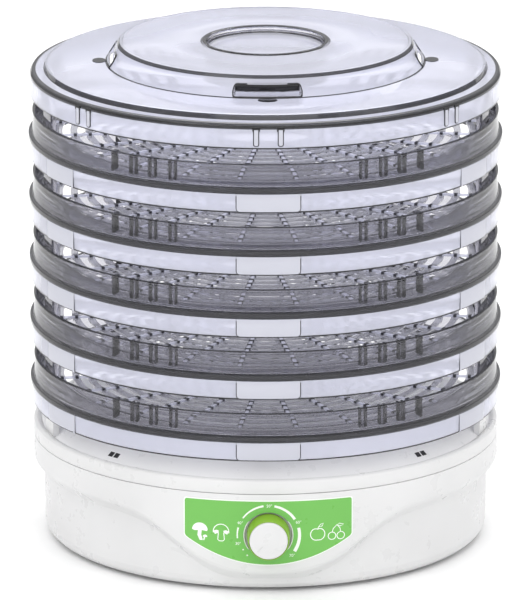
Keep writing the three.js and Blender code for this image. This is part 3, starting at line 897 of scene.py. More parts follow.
def tray_ring(k):
    base = FLANGE_Z[k]
    shape = Shape()
    shape.turned([(radius, z + base) for radius, z in ring_outline()], 216)
    thing = shape.made(f"tray_{k}_ring_moulding", "clear")
    names = ("clear", "pale", "dark", "bars")
    return painted(thing, names, lambda radius, z: ring_finish(radius, z - base))


def tray_guides(k):
    """The channels, fins and columns inside a ring's wall."""
    base = FLANGE_Z[k]
    shape = Shape()
    for mirror in (-1, 1):
        for turn in (0, 180):
            for angle in CHANNEL_ANGLES:
                add_channel(shape, turn + mirror * angle, base)
            fin = turn + mirror * FIN_ANGLE
            shape.pad(fin, 0.4, (154.6, 158.9), (base + 5.0, base + 19.0), corner=0.5, parts=4)
    top = base + TRAY_PITCH - 0.4
    for angle in COLUMN_ANGLES:
        heights = (base + GRID_TOP + 0.1, top)
        shape.pad(angle, COLUMN_HALF_ANGLE, COLUMN_RADII, heights, parts=8, soft=0.5)
    thing = shape.made(f"tray_{k}_guides", "clear")

    # Painted shade: faces inside the wall below the rim's top take the near-black finish, standing
    # in for the dark lines seen along the guides.
    def rule(radius, z):
        return "dark" if z < base + 19.2 and radius < 158.25 else "clear"

    return painted(thing, ("clear", "dark"), rule)


def add_framed(shape, angle, half_angle, radius, heights, corner):
    """A thin raised plate with a darker plate a little larger behind it, whose rim shows as a
    painted-shade outline.
    """
    shape.pad(angle, half_angle, (radius, radius + 0.4), heights, corner, parts=16, soft=0.1)
    inset = math.degrees(0.65 / radius)
    inner = (heights[0] + 0.65, heights[1])
    front = (radius + 0.42, radius + 0.6)
    shape.pad(angle, half_angle - inset, front, inner, corner * 0.7, 16, 0.05)


# Front faces take the tab tint; all other faces take the near-black finish, a painted-shade
# outline.
def framed_finish(radius):
    return lambda here, z: "tab" if here > radius + 0.5 else "dark"


def tray_tabs(k):
    """The grip tabs on a tray's skirt, with painted shade along their edges."""
    base = FLANGE_Z[k]
    shape = Shape()
    heights = (base - SKIRT_DROP + 0.3, base - 0.8)
    for angle in (0, 180):
        add_framed(shape, angle, math.degrees(22 / 162), SKIRT_FACE, heights, 2.8)
    for angle in TAB_ANGLES:
        add_framed(shape, angle, 6.4, SKIRT_FACE, heights, 2.2)
        edge = angle - math.copysign(6.5, angle)
        shape.pad(edge, 0.42, (SKIRT_FACE, SKIRT_RADIUS + 0.7), heights, corner=0.8, parts=4)
    thing = shape.made(f"tray_{k}_tabs", "pale")
    return painted(thing, ("tab", "dark"), framed_finish(SKIRT_FACE))


class DEHYDRATOR_OT_tray_rings(bpy.types.Operator):
    """Builds the rings of the trays, with their skirts, guides, tabs and columns."""

    bl_idname = "dehydrator.tray_rings"
    bl_label = "Tray rings"

    def execute(self, context):
        for k in TRAYS:
            settle(tray_ring(k), f"tray_{k}", CLEAR, f"tray_{k}_ring")
            settle(tray_guides(k), f"tray_{k}", CLEAR)
            settle(tray_tabs(k), f"tray_{k}", CLEAR)
        return {"FINISHED"}


def edge_and_hub(k):
    """The floor's two solid rings, which the grid of bars joins."""
    shape = Shape()
    edge = LEDGE_RADIUS - 0.3
    heights = FLANGE_Z[k] + GRID_BOTTOM, FLANGE_Z[k] + GRID_TOP
    for radii in ((edge - 2.2, edge), HUB_RADII):
        shape.turned(softened(box_section(radii, heights), 0.3, 2), 144)
    return shape.made(f"tray_{k}_grid_edge", "clear")


class DEHYDRATOR_OT_tray_grids(bpy.types.Operator):
    """Builds the open floors of the trays."""

    bl_idname = "dehydrator.tray_grids"
    bl_label = "Tray floors"

    def execute(self, context):
        sizes = context.scene.dehydrator_sizes
        tree = grid_tree()
        for k in TRAYS:
            thing = Shape().made(f"tray_{k}_grid_bars", "bars")
            values = {
                "Spokes": sizes.spokes,
                "Hoops": sizes.hoops,
                "Hoop width": sizes.hoop_width,
                "Inner radius": (HUB_RADII[1] + 0.1) * MM,
                "Outer radius": (LEDGE_RADIUS - 2.6) * MM,
                "Spoke material": finish("pale"),
                "Crossing material": finish("dark"),
            }
            grown(thing, tree, finish("bars"), values)
            height = (FLANGE_Z[k] + GRID_BOTTOM + 1.4) * MM
            for vertex in thing.data.vertices:
                vertex.co += Vector((0.0, AXIS_Y * MM, height))
            settle(thing, f"tray_{k}", CLEAR, f"tray_{k}_grid")
            settle(edge_and_hub(k), f"tray_{k}", CLEAR)
        return {"FINISHED"}


# ---- Lid ----
LID_FACE = 162.82
RIB_PAIRS = ((0, 2.9), (-50, 2.0), (50, 2.0), (-140, 2.0), (140, 2.0), (180, 2.9))
RIB_ANGLES = [angle + side * half for angle, half in RIB_PAIRS for side in (-1, 1)]


def lid_outline():
    top = LID_TOP
    return softened(
        [
            (0, top - 6.0), (39.6, top - 6.0, 1.4), (41.0, top - 0.6, 0.6), (42.2, top, 0.5),
            (43.8, top, 0.5), (44.8, top - 0.9, 0.4), (98.6, top - 1.1, 0.5),
            (99.2, top - 0.5, 0.3), (101.2, top - 0.6, 0.5), (102.6, 349.0, 0),
            (110.2, 337.0, 1.2), (150.4, 336.6, 0.4), (152.2, 336.4, 0.5), (153.0, 332.9, 0.6),
            (159.0, 332.5, 0.6), (161.4, 332.2, 1.0), (162.8, 330.4, 0.9), (162.8, 328.8, 0),
            (162.8, 316.1, 0), (162.8, 315.2, 0.4), (161.2, 315.2, 0.4), (161.2, 316.1, 0),
            (161.0, 330.2, 0.9), (158.4, 330.8, 0.5), (151.4, 331.0, 0.6), (150.6, 334.8, 0.6),
            (109.4, 335.2, 1.0), (103.2, 346.0, 0), (99.6, top - 2.8, 0.8),
            (44.4, top - 2.7, 0.8), (42.3, top - 4.0, 0.6), (42.3, 328.5, 0.4),
            (40.8, 328.5, 0.4), (40.4, top - 8.0, 0.8), (0, top - 7.8),
        ]
    )


# Painted shade: the skirt's rim and foot, the steps, the cone's shoulder and foot and the collar's
# walls take the near-black finish, standing in for the dark lines refraction draws there.
def lid_finish(radius, z):
    if radius > 154.6:
        return "dark" if radius > 159.6 and z > 329.0 or z < 316.0 else "pale"
    step = radius > 151.4 and z < 336.3
    shoulder = 101.0 < radius < 104.0 and z > 349.0
    if step or shoulder or (109.6 < radius < 111.0 and z > 336.6):
        return "dark"
    if 40.2 < radius < 45.0:
        return "dark" if z < 344.0 or (radius < 43.4 and z > 350.0) else "clear"
    return "pale"


def vent_outline(grow=0.0):
    """The round-cornered opening of a vent, as x and z."""
    foot, top, low, high = 23 + grow, 21.4 + grow, 338.2 - grow, 345.4 + grow
    corners = [(-foot, low, 1.5), (foot, low, 1.5), (foot, low + 4, 3), (top, high, 3.6)]
    corners += [(-top, high, 3.6), (-foot, low + 4, 3)]
    return softened(corners, 1.0, 5, turned=False)


def outward(turn):
    """Places a flat shape of x and z at a distance from the axis, turned round it."""
    cos, sin = math.cos(math.radians(turn)), math.sin(math.radians(turn))

    def place(x, z, distance):
        return (x * cos + distance * sin, x * sin - distance * cos, z)

    return place


def lid_shape():
    shape = Shape()
    shape.turned(lid_outline(), 216)
    thing = shape.made("lid_shell", "clear")
    cutter = Shape()
    for turn in QUARTERS:
        cutter.prism(vent_outline(), 96, 122, outward(turn))
    cut_away(thing, cutter)
    return painted(thing, ("pale", "clear", "dark"), lid_finish)


def cone_radius(z):
    """Radius of the lid's cone at a height."""
    top, foot = LID_TOP - 0.6, 337.0
    return 101.2 + (top - z) * (110.2 - 101.2) / (top - foot)


def add_vent_lips(shape):
    """A raised border round each vent."""
    outer, inner = vent_outline(0.9), vent_outline(0.05)
    for turn in QUARTERS:
        place = outward(turn)
        rows = []
        for near, far in zip(inner, outer):
            row = []
            for (x, z), proud in ((near, 1.0), (far, 1.0), (far, 0.12), (near, 0.12)):
                distance = math.sqrt((cone_radius(z) + proud) ** 2 - x * x)
                row.append(place(x, z, distance))
            rows.append(row)
        shape.skin(rows, closed=True)


def lid_fittings():
    # Every fitting takes the near-black painted-shade finish: the rib heads, column tops, ovals
    # and vent lips show as dark lines and spots.
    shape = Shape()
    for angle in RIB_ANGLES:
        shape.pad(angle, 0.9, (LID_FACE, 163.4), (327.0, 330.4), corner=0.6, parts=4)
    for angle in COLUMN_ANGLES:
        shape.pad(angle, COLUMN_HALF_ANGLE, COLUMN_RADII, (328.3, 330.6), parts=8)
    oval = [(6.7 * math.cos(a), 4.7 * math.sin(a)) for a in steps(0, math.tau, 32)[:-1]]
    for turn in QUARTERS:
        place = outward(turn)
        shape.prism(oval, 337.02, 337.4, lambda x, y, z: place(x, z, 115.0 - y))
        # Painted shade: a dark plate behind each vent's upper half, where the plateau's underside
        # is in shade.
        shape.pad(turn, 12.2, (102.6, 103.6), (340.4, 346.0), parts=16)
    add_vent_lips(shape)
    return shape.made("lid_fittings", "dark")


def lid_ribs():
    """Pairs of ribs on the lid's skirt."""
    shape = Shape()
    for angle in RIB_ANGLES:
        add_framed(shape, angle, 0.72, LID_FACE, (317.0, 328.6), 1.6)
    thing = shape.made("lid_ribs", "pale")
    return painted(thing, ("tab", "dark"), framed_finish(LID_FACE))


def vent_sills():
    shape = Shape()
    for turn in QUARTERS:
        shape.pad(turn, 11.8, (104.6, 105.6), (337.4, 340.2), parts=16)
    return shape.made("vent_sills", "pale")


class DEHYDRATOR_OT_lid(bpy.types.Operator):
    """Builds the vented lid with its recess, ribs and pads."""

    bl_idname = "dehydrator.lid"
    bl_label = "Lid"

    def execute(self, context):
        settle(lid_shape(), "lid", CLEAR, "lid")
        for build in (lid_fittings, lid_ribs, vent_sills):
            settle(build(), "lid", CLEAR)
        return {"FINISHED"}


# ---- Base ----
def band_edge(angle):
    """Height of the band's lower edge, which dips under the control panel."""
    share = abs(angle) / 25.5
    return 55 - 38.5 * math.exp(-(share**3.2))


def shell_section(angle):
    edge = band_edge(angle)
    body, band = BODY_RADIUS - 2.4, BAND_RADIUS - 2.4
    lowest = 11.0
    return softened(
        [
            (PLATE_RADIUS + 0.3, 3.0, 0.3), (BODY_RADIUS - 4.2, 3.0, 1.0),
            (BODY_RADIUS - 1.2, 6.2, 3.0), (BODY_RADIUS - 0.2, 10.6, 1.0),
            (BODY_RADIUS, max(edge - 7.0, lowest), 2.6), (BAND_RADIUS - 0.9, edge - 0.2, 1.8),
            (BAND_RADIUS, edge + 2.0, 1.6), (BAND_RADIUS, SEAM_Z - 0.4, 0.5),
            (band, SEAM_Z - 0.4, 0.3), (band, edge + 4.0, 0.8),
            (body, max(edge - 4.4, lowest + 2.4), 0.8), (body, lowest + 1.0, 0.8),
            (BODY_RADIUS - 4.6, 6.0, 0.5), (PLATE_RADIUS + 0.3, 6.0, 0.3),
        ]
    )


def lower_shell():
    shape = Shape()
    shape.swept(steps(-180, 180, 240)[:-1], shell_section, closed=True)
    thing = shape.made("lower_shell_moulding", "white")
    cutter = Shape()
    dial = front_axis(0, DIAL_Z)
    cutter.turned(box_section((0, DIAL_RADIUS), (-170, -150)), 96, dial)
    cutter.turned(box_section((0, 5.6), (148, 160)), 48, front_axis(0, INLET_Z))
    return cut_away(thing, cutter)


def dial_cup():
    """The round recess the knob turns in."""
    front, floor = -BAND_RADIUS + 0.35, -158.6
    outline = [
        (3.6, floor, 0.2), (DIAL_RADIUS - 0.9, floor, 0.8), (DIAL_RADIUS - 0.7, front, 0.3),
        (DIAL_RADIUS + 0.05, front, 0.3), (DIAL_RADIUS + 0.05, floor + 2.0, 0.3),
        (3.6, floor + 2.0, 0.2),
    ]
    shape = Shape()
    shape.turned(softened(outline), 96, front_axis(0, DIAL_Z))
    return shape.made("dial_cup", "white")


class DEHYDRATOR_OT_lower_shell(bpy.types.Operator):
    """Builds the lower shell of the base and the recess of its dial."""

    bl_idname = "dehydrator.lower_shell"
    bl_label = "Lower shell"

    def execute(self, context):
        settle(lower_shell(), "base", WHITE, "lower_shell")
        settle(dial_cup(), "base", WHITE)
        return {"FINISHED"}


SLOPE_FOOT = (BAND_RADIUS - 6.8, LIP_Z - 0.9)
SLOPE_TOP = (142.5, DECK_Z - 1.6)


def cover_outline():
    return softened(
        [
            (BAND_RADIUS, SEAM_Z, 0.4), (BAND_RADIUS, LIP_Z - 1.2, 1.5),
            (BAND_RADIUS - 2.4, LIP_Z, 1.2), (BAND_RADIUS - 4.6, LIP_Z - 0.4, 0.8),
            (BAND_RADIUS - 5.4, LIP_Z - 1.8, 0.6), (*SLOPE_FOOT, 0.5),
            (*SLOPE_TOP, 2.0), (137.0, DECK_Z - 0.1, 2.5), (63, DECK_Z - 0.1, 0.6),
            (63, 58, 0.4), (65.2, 58, 0.4), (65.2, DECK_Z - 2.4, 0.6),
            (137, DECK_Z - 2.4, 1.5), (154.0, LIP_Z - 3.4, 1.0),
            (BAND_RADIUS - 4.9, LIP_Z - 4.4, 0.8), (BAND_RADIUS - 4.9, SEAM_Z - 4, 0.3),
            (BAND_RADIUS - 2.8, SEAM_Z - 4, 0.3), (BAND_RADIUS - 2.7, SEAM_Z, 0.2),
        ]
    )


def catch_section(angle):
    """Dark filling of a catch hole, just under the slope of the cover: painted shade for the
    hole's inside.
    """
    inner, outer = 148.6, 153.0
    slope = (SLOPE_TOP[1] - SLOPE_FOOT[1]) / (SLOPE_FOOT[0] - SLOPE_TOP[0])
    top = SLOPE_FOOT[1] - 0.3 + slope * (SLOPE_FOOT[0] - outer)
    return [(inner, 80.0), (outer, 80.0), (outer, top), (inner, top + slope * (outer - inner))]


class DEHYDRATOR_OT_top_cover(bpy.types.Operator):
    """Builds the top cover of the base, with the supports of the lowest tray."""

    bl_idname = "dehydrator.top_cover"
    bl_label = "Top cover"

    def execute(self, context):
        shape = Shape()
        shape.turned(cover_outline(), 216)
        thing = shape.made("top_cover_moulding", "white")
        cutter = Shape()
        for angle in CATCH_ANGLES:
            for side in (-1, 1):
                cutter.pad(angle + side * 0.95, 0.82, (149.0, 152.6), (78, 98), parts=6)
        cut_away(thing, cutter)
        settle(thing, "base", WHITE, "top_cover")
        # Painted light: faces inside the shoulder radius take the brighter white, standing in for
        # light under the lowest tray.
        names = ("white", "bright")
        painted(thing, names, lambda radius, z: names[radius < SHOULDER_RADIUS])
        # Painted shade: a black filling in each catch hole stands in for the shade inside it.
        hole_shades = Shape()
        for angle in CATCH_ANGLES:
            hole_shades.swept(steps(angle - 1.9, angle + 1.9, 6), catch_section)
        settle(hole_shades.made("catch_wells", "black"), "base", "black_plastic")
        supports = Shape()
        for angle in COLUMN_ANGLES:
            heights = (LIP_Z - 1.0, FLANGE_Z[1] - 0.3)
            supports.pad(angle, COLUMN_HALF_ANGLE, COLUMN_RADII, heights, parts=8, soft=0.6)
        settle(supports.made("tray_supports", "white"), "base", WHITE)
        return {"FINISHED"}


class DEHYDRATOR_OT_air_grilles(bpy.types.Operator):
    """Builds the outlet grille on top and the slotted plate under the base."""

    bl_idname = "dehydrator.air_grilles"
    bl_label = "Air grilles"

    def execute(self, context):
        sizes = context.scene.dehydrator_sizes
        tree = slot_tree()
        rim = OUTLET_RADIUS
        top = [(0, DECK_Z + 1.3), (18, DECK_Z + 1.3, 1.5), (rim - 2, DECK_Z - 0.1, 1.0)]
        skirt = [(rim, DECK_Z - 0.3, 0.5), (rim, DECK_Z - 8, 0.3), (rim - 2, DECK_Z - 8, 0.3)]
        under = [(rim - 2, DECK_Z - 1.9, 0.8), (18, DECK_Z - 0.7, 1.5), (0, DECK_Z - 0.7)]
        plate = [(0, 3.0), (PLATE_RADIUS, 3.0, 0.4), (PLATE_RADIUS, 5.4, 0.4), (0, 5.4)]
        for node, outline, slots, inner, height in (
            ("outlet_grille", top + skirt + under, sizes.outlet_slots, 0.020, 0.080),
            ("bottom_plate", plate, sizes.inlet_slots, 0.022, -0.010),
        ):
            shape = Shape()
            shape.turned(softened(outline), 144)
            thing = shape.made(node + "_moulding", "white")
            values = {"Slots": slots, "Inner radius": inner, "Height": height, "Centre": CENTRE}
            settle(grown(thing, tree, finish("white"), values), "base", WHITE, node)
        return {"FINISHED"}


class DEHYDRATOR_OT_feet_and_screws(bpy.types.Operator):
    """Builds the rubber feet, the screws under the base and the cord inlet's grommet."""

    bl_idname = "dehydrator.feet_and_screws"
    bl_label = "Feet, screws and cord inlet"

    def execute(self, context):
        sole = [(0, 0.5), (5.0, 0.5, 0.3), (5.6, 0.0, 0.2), (9.3, 0.0, 0.6)]
        stud = [(10.0, 2.7, 0.4), (2.7, 2.7, 0.1), (2.7, 7.0, 0.5), (0, 7.0)]
        for number, angle in enumerate(FOOT_ANGLES, 1):
            x, y, _ = around(FOOT_RADIUS, angle, 0)
            shape = Shape()
            shape.turned(softened(sole + stud, 0.3, 2), 48, upright_axis(x, y))
            thing = shape.made(f"foot_{number}", "rubber")
            settle(thing, "base", "dark_rubber", f"rubber_foot_{number}")
        screw = Shape()
        head = [(0, 1.1), (1.6, 1.1, 0.2), (3.3, 1.6, 0.5), (3.6, 2.7, 0.2)]
        shank = [(1.8, 2.7, 0.1), (1.8, 16, 0.4), (0, 16)]
        screw.turned(softened(head + shank, 0.3, 2), 32, upright_axis(0, -AXIS_Y))
        thing = screw.made("base_screws", "steel")
        cross = Shape()
        for x, y in ((2.1, 0.45), (0.45, 2.1)):
            cross.block((-x, -y - AXIS_Y, 0), (x, y - AXIS_Y, 2.2))
        cut_away(thing, cross)
        values = {"Count": 4, "Radius": 0.141, "Start angle": math.radians(45), "Centre": CENTRE}
        grown(thing, ring_copies_tree(), finish("steel"), values)
        settle(thing, "base", "plated_steel", *[f"base_screw_{i}" for i in range(1, 5)])
        grommet = Shape()
        inside = [(3.4, 148.8, 0.3), (8.0, 148.8, 0.4), (8.0, 151.2, 0.3), (5.3, 151.2, 0.2)]
        outside = [(5.3, 155.3, 0.2), (8.0, 155.3, 0.5), (7.0, 158.8, 0.8), (3.4, 158.8, 0.6)]
        grommet.turned(softened(inside + outside), 48, front_axis(0, INLET_Z))
        settle(grommet.made("cord_grommet", "rubber"), "base", "dark_rubber", "cord_inlet")
        return {"FINISHED"}


# ---- Control panel and knob ----
def panel_bottom(angle, grow=0.0):
    share = min(abs(angle) / PANEL_HALF_ANGLE, 1.0)
    return PANEL_BOTTOM + 18.3 * share * share - grow


def panel_plate(grow, inner, outer):
    half = PANEL_HALF_ANGLE + math.degrees(grow / BAND_RADIUS)
    shape = Shape()

    def section(angle):
        low, high = panel_bottom(angle, grow), PANEL_TOP + grow
        inset = math.radians(half - abs(angle)) * BAND_RADIUS
        trim = corner_trim(inset, 1.6)
        return box_section((inner, outer), (low + trim, high - trim))

    shape.swept([half * math.sin(math.pi / 2 * t) for t in steps(-1, 1, 64)], section)
    return shape


def bow(centre, radius, start, end, count=24):
    """Points of an arc, with angles in degrees anticlockwise from +X."""
    turns = [math.radians(a) for a in steps(start, end, count)]
    return [(centre[0] + radius * math.cos(t), centre[1] + radius * math.sin(t)) for t in turns]


def line(shape, path, width=0.5, closed=False):
    shape.ribbon(path, width, on_band, PRINT_HEIGHT, closed)


def patch(shape, outline):
    shape.prism(outline, 0.0, PRINT_HEIGHT, on_band)


def offset(x, z, *points):
    return [(x + a, z + b) for a, b in points]


def add_dial_scale(shape):
    arcs = ((186, 165, 0.9, 1.1), (145, 99, 1.0, 1.4), (79, 32, 1.5, 1.9), (14, -33, 2.0, 2.4))
    for start, end, thin, thick in arcs:
        line(shape, bow((0, DIAL_Z), 21.2, start, end), (thin, thick))
    for x, z in ((-17.2, -10.2), (-14.4, -14.2)):
        patch(shape, bow((x, DIAL_Z + z), 0.55, 0, 345, 11))


def add_mushrooms(shape):
    x, z = -46.6, DIAL_Z + 2.4
    cap = [(px, z + (pz - z) * 0.95) for px, pz in bow((x, z), 5.3, 180, 0, 18)]
    patch(shape, cap + offset(x, z, (4.6, -0.7), (1.4, -0.2), (-3.6, -0.7)))
    stem = ((-1.3, -0.4), (1.2, -0.4), (0.9, -3.6), (2.0, -7.2), (-0.2, -7.4), (-1.7, -3.8))
    patch(shape, offset(x, z, *stem))
    patch(shape, bow((x + 3.5, z - 4.9), 1.6, 180, 0, 10))
    line(shape, offset(x, z, (3.2, -4.8), (2.6, -7.2)), 0.9)
    x, z = -32.2, DIAL_Z + 2.0
    line(shape, bow((x, z), 5.3, 190, -10), 0.6)
    gill = ((5.2, 0.4), (3.2, 1.2), (1.6, 0.6), (1.8, -0.9), (4.2, -1.9))
    patch(shape, offset(x, z, *((-a, b) for a, b in gill)))
    patch(shape, offset(x, z, *gill[::-1]))
    stem = ((-1.8, -0.8), (-2.3, -5.6), (-1.2, -6.6), (1.2, -6.6), (2.3, -5.6), (1.8, -0.8))
    line(shape, offset(x, z, *stem), 0.6)


def add_fruit(shape):
    x, z = 33.6, DIAL_Z - 0.2
    apple = []
    for t in steps(0, math.tau, 40)[:-1]:
        radius = 4.9
        for turn, depth, width in ((-math.pi / 2, 0.9, 0.22), (math.pi / 2, 0.5, 0.2)):
            radius -= depth * math.exp(-((math.sin((t + turn) / 2) / width) ** 2))
        apple.append((x + radius * math.cos(t), z + radius * 0.94 * math.sin(t)))
    line(shape, apple, 0.6, closed=True)
    line(shape, offset(x, z, (0, 3.2), (0.4, 4.8), (1.2, 6.0)))
    line(shape, offset(x, z, (0.8, 5.2), (1.8, 6.9), (3.9, 7.6), (3.0, 5.6)), closed=True)
    top = (46.8, DIAL_Z + 5.6)
    for cx, cz, lean in ((43.4, DIAL_Z - 2.1, -0.8), (49.4, DIAL_Z - 2.2, 0.8)):
        line(shape, bow((cx, cz), 2.6, 0, 345, 23), 0.55, closed=True)
        middle = ((cx + top[0]) / 2 + lean, (cz + 2.6 + top[1]) / 2)
        line(shape, [(cx, cz + 2.4), middle, top])
    line(shape, offset(*top, (0, 0), (1.8, 0.8), (4.6, 0), (2.4, -1.2)), closed=True)


DIAL_NUMBERS = (
    ("30°", -20.6, -6.1),
    ("40°", -19.2, 8.7),
    ("50°", 0.6, 20.9),
    ("60°", 20.6, 9.0),
    ("70°", 16.2, -14.5),
)


def dial_number(text, x, z):
    """A number of the dial's scale, bent onto the band."""
    curve = bpy.data.curves.new("dial_" + text, "FONT")
    curve.body = text
    curve.size = 2.9
    curve.align_x = "CENTER"
    curve.align_y = "CENTER"
    curve.extrude = 0.1
    curve.resolution_u = 4
    thing = linked(bpy.data.objects.new("dial_" + text, curve))
    bpy.context.view_layer.update()
    mesh = evaluated_mesh(thing)
    bpy.data.objects.remove(thing)
    placed = [on_band(x + v.co.x, z + v.co.y, 0.15 + v.co.z) for v in mesh.vertices]
    return placed, [tuple(face.vertices) for face in mesh.polygons]


class DEHYDRATOR_OT_control_panel(bpy.types.Operator):
    """Builds the green control panel, its white border, dial scale and pictures."""

    bl_idname = "dehydrator.control_panel"
    bl_label = "Control panel"

    def execute(self, context):
        hole = Shape()
        section = box_section((0, DIAL_RADIUS - 0.6), (-175, -150))
        hole.turned(section, 96, front_axis(0, DIAL_Z))
        back, face = BAND_RADIUS - 0.8, BAND_RADIUS + 0.1
        border = panel_plate(0.7, back, face).made("panel_border", "print")
        settle(cut_away(border, hole), "base", WHITE)
        plate = panel_plate(0.0, back, face + 0.1).made("panel_plate", "green")
        settle(cut_away(plate, hole), "base", "green_panel", "control_panel")
        marks = Shape()
        add_dial_scale(marks)
        add_mushrooms(marks)
        add_fruit(marks)
        for text, x, z in DIAL_NUMBERS:
            marks.add(*dial_number(text, x, DIAL_Z + z))
        settle(marks.made("panel_pictures", "print"), "base", WHITE)
        return {"FINISHED"}


class DEHYDRATOR_OT_knob(bpy.types.Operator):
    """Builds the temperature knob with its white face."""

    bl_idname = "dehydrator.knob"
    bl_label = "Knob"

    def execute(self, context):
        axis = front_axis(0, DIAL_Z)
        back, face = -159.0, KNOB_FACE
        outline = [
            (3.4, back, 0.2), (14.8, back, 0.4), (14.8, back - 1.8, 1.2),
            (14.2, face + 3.0, 3.0), (13.8, face + 0.5, 0.5), (13.4, face + 0.1, 0.3),
            (13.2, face + 1.5, 0.2), (3.4, face + 1.5, 0.2),
        ]
        body = Shape()
        body.turned(softened(outline, 0.4, 4), 96, axis)
        settle(body.made("knob_body", "knob"), "knob", "green_knob", "knob")
        cap = Shape()
        rear = [(0, face + 1.4), (13.1, face + 1.4, 0.1)]
        front = [(13.1, face + 0.3, 0.5), (12.1, face, 0.8), (0, face + 0.2)]
        cap.turned(softened(rear + front, 0.4, 4), 96, axis)
        thing = cap.made("knob_face", "white")
        pointer = Shape()
        ends = [bow((0, DIAL_Z), reach, 225, 225, 1)[0] for reach in (5.5, 10.5)]
        pointer.ribbon(ends, 0.8, lambda x, z, depth: (x, face - 1 + depth, z), 1.35)
        cut_away(thing, pointer)
        settle(thing, "knob", WHITE, "knob_cap")
        return {"FINISHED"}


# ---- Inside the base ----
INNER_FINISHES = {
    "steel": (
        ("thermostat_shaft", "fan_motor", "motor_shaft", "motor_bracket", "thermal_fuse")
        + ("bracket_screw_1", "bracket_screw_2")
    ),
    "black": ("thermostat_body", "fan_impeller", "terminal_block"),
    "mica": ("heater_carrier",),
    "brown": ("wire_live",),
    "blue": ("wire_neutral",),
    "braid": ("wire_heater",),
}


class DEHYDRATOR_OT_inside(bpy.types.Operator):
    """Winds the heater wire and gives the parts inside the base their finishes."""

    bl_idname = "dehydrator.inside"
    bl_label = "Fan, heater and wiring"

    def execute(self, context):
        for name, nodes in INNER_FINISHES.items():
            for node in nodes:
                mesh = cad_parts[node].data
                mesh.materials.clear()
                mesh.materials.append(finish(name))
        turns = context.scene.dehydrator_sizes.coil_turns
        low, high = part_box("heater_coil")
        height = (low.z + high.z) / 2 / MM
        path = []
        for t in steps(0, math.tau, turns * 10)[:-1]:
            reach = 42 + 2.0 * math.cos(t * turns)
            z = height + 2.0 * math.sin(t * turns)
            path.append((reach * math.cos(t), reach * math.sin(t), z))
        shape = Shape()
        shape.loop(path, 0.38, 5)
        thing = shape.made("heater_winding", "coil", 60)
        settle(thing, "base", "resistance_wire", "heater_coil")
        return {"FINISHED"}


# ---- Stage ----
# Each lamp's name, place, target, size and power.
LAMPS = (
    ("key", (-1.2, -1.6, 1.9), (0, 0, 0.15), (1.4, 1.4), 7),
    ("fill", (1.6, -1.2, 1.3), (0, 0, 0.15), (1.2, 1.2), 3),
    ("front", (0.0, -2.6, 1.5), (0, 0, 0.05), (2.6, 1.2), 13),
    ("back", (0.2, 1.8, 2.0), (0, 0, 0.1), (2.0, 1.0), 12),
)
CAMERA_DISTANCE = 5.0
CAMERA_ELEVATION = 15.65
CAMERA_AZIMUTH = -0.7
CAMERA_FOCAL = 430.0
AIM_HEIGHT = 0.1648


def add_lamp(name, place, target, size, power):
    light = bpy.data.lights.new(name, "AREA")
    light.shape = "RECTANGLE"
    light.size, light.size_y = size
    light.energy = power
    lamp = linked(bpy.data.objects.new(name, light))
    lamp.location = place
    lamp.rotation_euler = (Vector(target) - Vector(place)).to_track_quat("-Z", "Y").to_euler()


def add_world():
    world = bpy.data.worlds.new("studio")
    world.use_nodes = True
    shader = Shader(world.node_tree)
    up = shader.node("ShaderNodeTexCoord").outputs["Generated"]
    height = shader.node("ShaderNodeSeparateXYZ", {0: up}).outputs["Z"]
    ramp = shader.node("ShaderNodeValToRGB", {0: height})
    stops = ((0.0, (0.25, 0.25, 0.26, 1.0)), (0.8, (1.0, 1.0, 1.0, 1.0)))
    for stop, (position, colour) in zip(ramp.color_ramp.elements, stops):
        stop.position, stop.color = position, colour
    glow = shader.node("ShaderNodeBackground", {"Color": ramp.outputs[0], "Strength": 1.38})
    shader.end("ShaderNodeOutputWorld", glow.outputs[0])
    bpy.context.scene.world = world


def add_camera():
    low, high = CAD_LOW, CAD_HIGH
    aim = Vector(((low.x + high.x) / 2, AXIS_Y * MM, AIM_HEIGHT))
    turn, rise = math.radians(CAMERA_AZIMUTH), math.radians(CAMERA_ELEVATION)
    level = math.cos(rise)
    back = Vector((math.sin(turn) * level, -math.cos(turn) * level, math.sin(rise)))
    camera = linked(bpy.data.objects.new("camera", bpy.data.cameras.new("camera")))
    camera.data.lens = CAMERA_FOCAL
    camera.data.sensor_width = 36.0
    camera.data.clip_end = 100.0
    camera.location = aim + back * CAMERA_DISTANCE
    camera.rotation_euler = (-back).to_track_quat("-Z", "Y").to_euler()
    bpy.context.scene.camera = camera


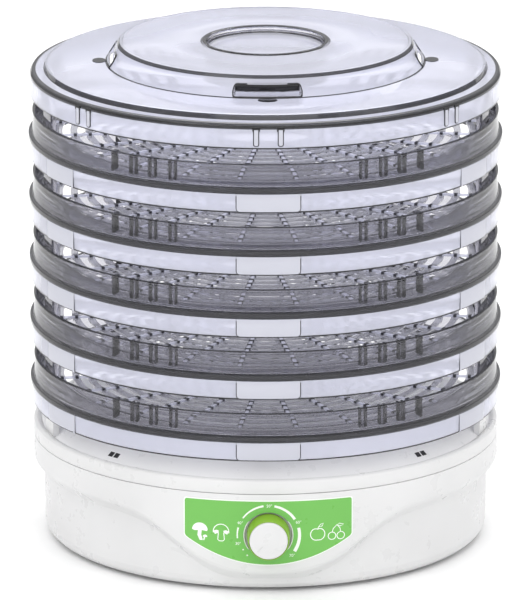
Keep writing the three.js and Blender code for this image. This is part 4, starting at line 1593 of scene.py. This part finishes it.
class DEHYDRATOR_OT_stage(bpy.types.Operator):
    """Builds the pale floor, the soft lights and the camera."""

    bl_idname = "dehydrator.stage"
    bl_label = "Stage"

    def execute(self, context):
        reach = 30.0
        mesh = bpy.data.meshes.new("floor")
        corners = [(*corner, 0) for corner in box_section((-reach, reach), (-reach, reach))]
        mesh.from_pydata(corners, [], [(0, 1, 2, 3)])
        mesh.materials.append(finish("floor"))
        linked(bpy.data.objects.new("floor", mesh))
        for lamp in LAMPS:
            add_lamp(*lamp)
        add_world()
        add_camera()
        context.scene.view_settings.view_transform = "Standard"
        return {"FINISHED"}


# ---- Add-on ----
OPERATORS = (
    DEHYDRATOR_OT_stage,
    DEHYDRATOR_OT_tray_rings,
    DEHYDRATOR_OT_tray_grids,
    DEHYDRATOR_OT_lid,
    DEHYDRATOR_OT_lower_shell,
    DEHYDRATOR_OT_top_cover,
    DEHYDRATOR_OT_air_grilles,
    DEHYDRATOR_OT_feet_and_screws,
    DEHYDRATOR_OT_control_panel,
    DEHYDRATOR_OT_knob,
    DEHYDRATOR_OT_inside,
)


class DEHYDRATOR_PT_pieces(bpy.types.Panel):
    bl_label = "Dehydrator"
    bl_idname = "DEHYDRATOR_PT_pieces"
    bl_space_type = "VIEW_3D"
    bl_region_type = "UI"
    bl_category = "Dehydrator"

    def draw(self, context):
        for group in (context.scene.dehydrator_sizes, context.scene.dehydrator_colours):
            for name in group.__annotations__:
                self.layout.prop(group, name)
        for operator in OPERATORS:
            self.layout.operator(operator.bl_idname)


CLASSES = (DehydratorSizes, DehydratorColours, DEHYDRATOR_PT_pieces) + OPERATORS


def register():
    for item in CLASSES:
        bpy.utils.register_class(item)
    bpy.types.Scene.dehydrator_sizes = PointerProperty(type=DehydratorSizes)
    bpy.types.Scene.dehydrator_colours = PointerProperty(type=DehydratorColours)


def unregister():
    del bpy.types.Scene.dehydrator_sizes
    del bpy.types.Scene.dehydrator_colours
    for item in reversed(CLASSES):
        bpy.utils.unregister_class(item)


def main():
    register()
    for operator in OPERATORS:
        group, name = operator.bl_idname.split(".")
        getattr(getattr(bpy.ops, group), name)()


if __name__ == "__main__":
    main()
